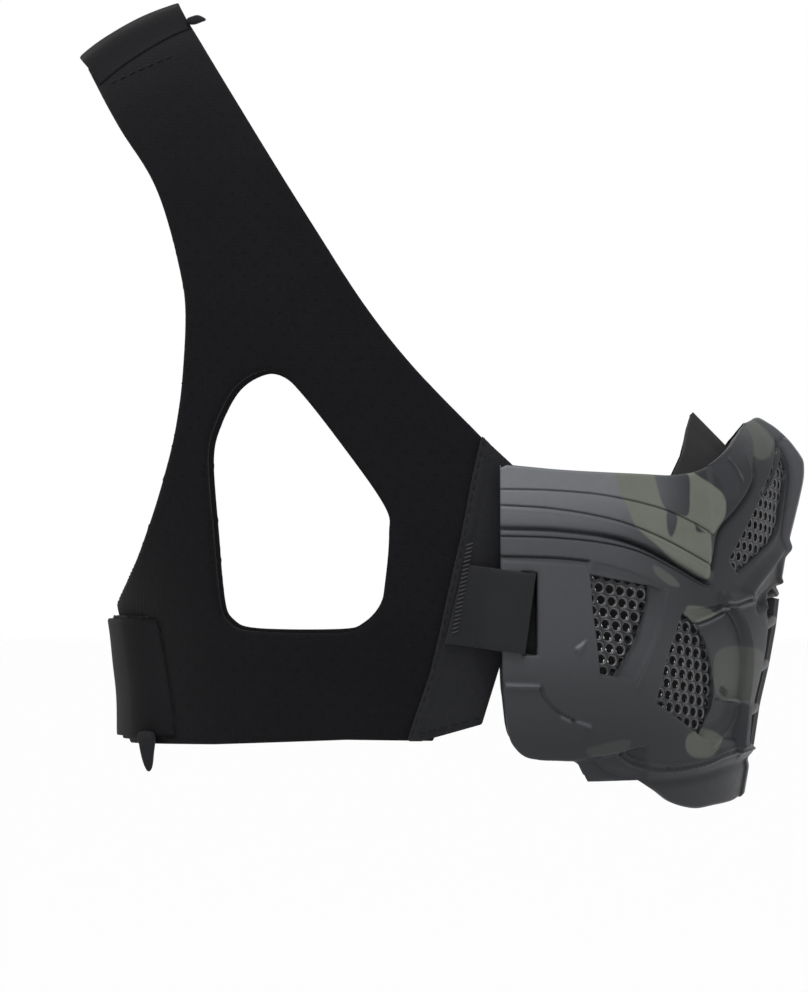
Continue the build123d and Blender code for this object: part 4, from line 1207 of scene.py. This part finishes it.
def build_stitching():
    seams = [[(y - 0.8, z) for y, z in TRIM_SEAM], [(-34.6, -69.8), (-53.4, -65)]]
    bar = [[(-50.7, -12.4), (-48.6, -25), (-46.2, -39.4)]]
    for side in ("right", "left"):
        half = side + "_half"
        stitches(side + "_trim_stitches", seams, 4.35, half, "nylon_trim", BLACK_THREAD, 3.4, 2.4, side=side)
        stitches(side + "_strap_bartack", bar, 5.7, half, "webbing", THREAD, 1.25, 2.4, 0.24, slant=62.0, side=side)
    crown = [[(56.6, 124), (48.6, 127.6), (38.6, 131.8)]]
    stitches("crown_patch_stitches", crown, 2.95, "right_half", "neoprene", BLACK_THREAD, 3.0, 2.2)


def fin(name, outline, x0, x1, body, node):
    """A small pull tab: a folded, sewn-down wedge of webbing whose (y, z) outline is given, between x0 and x1."""
    line = smooth_line(outline, steps=5, closed=True)
    middle = line.mean(axis=0)
    ends = ((0, 0.62), (0.25, 0.86), (0.7, 0.97), (1.6, 1))
    rings = [(x0 + into, size) for into, size in ends] + [(x1 - into, size) for into, size in ends[::-1]]
    verts = [(x, *(middle + (p - middle) * size)) for x, size in rings for p in line]
    ob = recalc(new_object(name, verts, tube_faces(0, len(rings), len(line)), TRIM))
    finish_piece(soften(ob, 60.0), body, "nylon_trim", node)


def build_pull_loops():
    crown = [(33.5, 143.5), (32.2, 144.2), (30.1, 144.6), (27.9, 143.4), (29.3, 142.6), (31.4, 141.9), (33.1, 142.1)]
    fin("crown_pull_loop", crown, -32.0, -23.0, "crown_closure", "crown_pull_tab")
    nape = [(47.9, -69.4), (47.7, -73.2), (46.9, -77), (45.9, -79.8), (44.9, -80.9), (43.9, -79.8), (43.4, -76),
        (43.2, -69.6)]
    fin("nape_pull_loop", nape, -36.0, -27.0, "nape_closure", "nape_pull_tab")


build_harness()
build_stitching()
build_pull_loops()


# ------------------------------------------------------------------ cheek straps
STRAP_WIDE, STRAP_THICK, STRAP_TILT = 24.0, 1.05, math.radians(7.7)
STRAP_STEPS = 6  # points from one point of the path to the next


def ribbon(name, path, part, side, lay=False):
    """A flat strap along a plan path of (x, y) points of its middle. part is the stretch of the whole path to keep;
    lay presses the rear end onto the trim."""
    line = smooth_line(path, steps=STRAP_STEPS)
    tangent = np.gradient(line, axis=0)
    tangent /= np.linalg.norm(tangent, axis=1)[:, None]
    kept = slice(part[0] * STRAP_STEPS, part[1] * STRAP_STEPS + 1)
    half_w, half_t = STRAP_WIDE / 2, STRAP_THICK / 2
    edge = [(half_w - inset, half_t * t) for inset, t in ((0.45, 1), (0.1, 0.65), (0, 0), (0.1, -0.65), (0.45, -1))]
    across_w = np.linspace(half_w - 2.0, -half_w + 2.0, 9)
    profile = [(w, half_t) for w in across_w[::-1]] + edge + [(w, -half_t) for w in across_w]
    profile += [(-w, t) for w, t in edge[::-1]]
    c, s = math.cos(STRAP_TILT), math.sin(STRAP_TILT)
    verts = []
    for (px, py), (along_x, along_y) in zip(line[kept], tangent[kept]):
        for w, t in profile:
            slant = -0.11 * w * step(py, -56.0, -46.0) if lay else 0.0
            y = py - along_x * t - SLOT[0] + slant
            x, y, z = px + along_y * t, SLOT[0] + y * c - w * s, SLOT[1] + y * s + w * c
            if lay:
                settle = step(y, -57.0, -50.5)
                x = x * (1 - settle) + (head_point(y, z, 4.9)[0] + along_y * t) * settle
            verts.append((-x if side == "left" else x, y, z))
    ob = new_object(name, verts, tube_faces(0, len(line[kept]), len(profile)), WEBBING)
    return soften(recalc(ob), 55.0)


def build_straps():
    tail = [(-72.3, -74.2), (-72.2, -70.5), (-72.1, -66), (-72.1, -62.6), (-72.7, -61.3), (-73.3, -62.2)]
    fold = [(-73.5, -63.8), (-73.9, -65.7), (-74.9, -67.1), (-76.8, -67.9), (-78.8, -68), (-79.9, -66.9),
        (-80.1, -64.6), (-79.9, -61.6)]
    rest = [(-79.4, -58.2), (-78.9, -55.4), (-78.7, -52), (-78.9, -48.6), (-79.1, -46)]
    path = tail + fold + rest
    split = len(tail) + len(fold)
    for side in ("right", "left"):
        slider, strap, half = side + "_slider", side + "_strap", side + "_half"
        ob = ribbon(side + "_strap_webbing_front", path, (0, split), side)
        nodes = (side + "_strap_fold", side + "_strap_run")
        blend_piece(ob, (slider, strap), (0, -0.0655, -0.0336), (0, -0.0600, -0.0336), "webbing", *nodes)
        ob = ribbon(side + "_strap_webbing_rear", path, (split, len(path) - 1), side, lay=True)
        blend_piece(ob, (strap, half), (0, -0.0575, -0.0336), (0, -0.0530, -0.0336), "webbing", side + "_strap_base")


build_straps()

for node in ("right_mesh_screws", "left_mesh_screws"):
    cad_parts[node].data.materials.clear()
    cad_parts[node].data.materials.append(SCREW)


# ------------------------------------------------------------------ floor, light and camera
def add_object(name, data, place=(0, 0, 0), look=None):
    """An object in the scene, in metres. look is the way that its -Z axis points."""
    ob = bpy.data.objects.new(name, data)
    bpy.context.scene.collection.objects.link(ob)
    ob.location = place
    if look is not None:
        ob.rotation_mode = "QUATERNION"
        ob.rotation_quaternion = Vector(look).to_track_quat("-Z", "Y")
    return ob


def light(name, place, target, size, power):
    data = bpy.data.lights.new(name, "AREA")
    data.shape = "RECTANGLE"
    data.size, data.size_y = size
    data.energy = power
    add_object(name, data, place, Vector(target) - Vector(place))


FLOOR_HALF, FLOOR_Z = 30.0, -0.30
DISTANCE, SEEN_HEIGHT = 5.0, 0.2976


def build_stage():
    mat = bpy.data.materials.new("floor")
    mat.use_nodes = True
    shader = mat.node_tree.nodes["Principled BSDF"]
    shader.inputs["Base Color"].default_value = (0.985, 0.985, 0.985, 1)
    shader.inputs["Roughness"].default_value = 0.9
    mesh = bpy.data.meshes.new("floor")
    corners = [(a * FLOOR_HALF, b * FLOOR_HALF, FLOOR_Z) for a, b in ((-1, -1), (1, -1), (1, 1), (-1, 1))]
    mesh.from_pydata(corners, [], [(0, 1, 2, 3)])
    mesh.materials.append(mat)
    add_object("floor", mesh)
    world = bpy.data.worlds.new("studio")
    bpy.context.scene.world = world
    world.use_nodes = True
    world.node_tree.nodes["Background"].inputs["Color"].default_value = (1, 1, 1, 1)
    world.node_tree.nodes["Background"].inputs["Strength"].default_value = 1.0
    middle = (0, -0.06, 0.0)
    light("key", (-0.55, 0.0, 0.80), (-0.05, -0.08, -0.02), (0.4, 0.4), 9.0)
    light("front", (-0.5, -1.4, 0.5), middle, (0.5, 1.2), 1.2)
    light("rear", (-0.3, 1.2, 0.9), middle, (0.6, 1), 2.0)
    camera = bpy.data.cameras.new("camera")
    camera.sensor_width = 36.0
    camera.lens = 36.0 * DISTANCE / SEEN_HEIGHT
    camera.clip_start, camera.clip_end = 0.1, 50.0
    bpy.context.scene.camera = add_object("camera", camera, (-DISTANCE, -0.0312, 0.0012), (1, 0, 0))
    bpy.context.scene.view_settings.view_transform = "Standard"


build_stage()
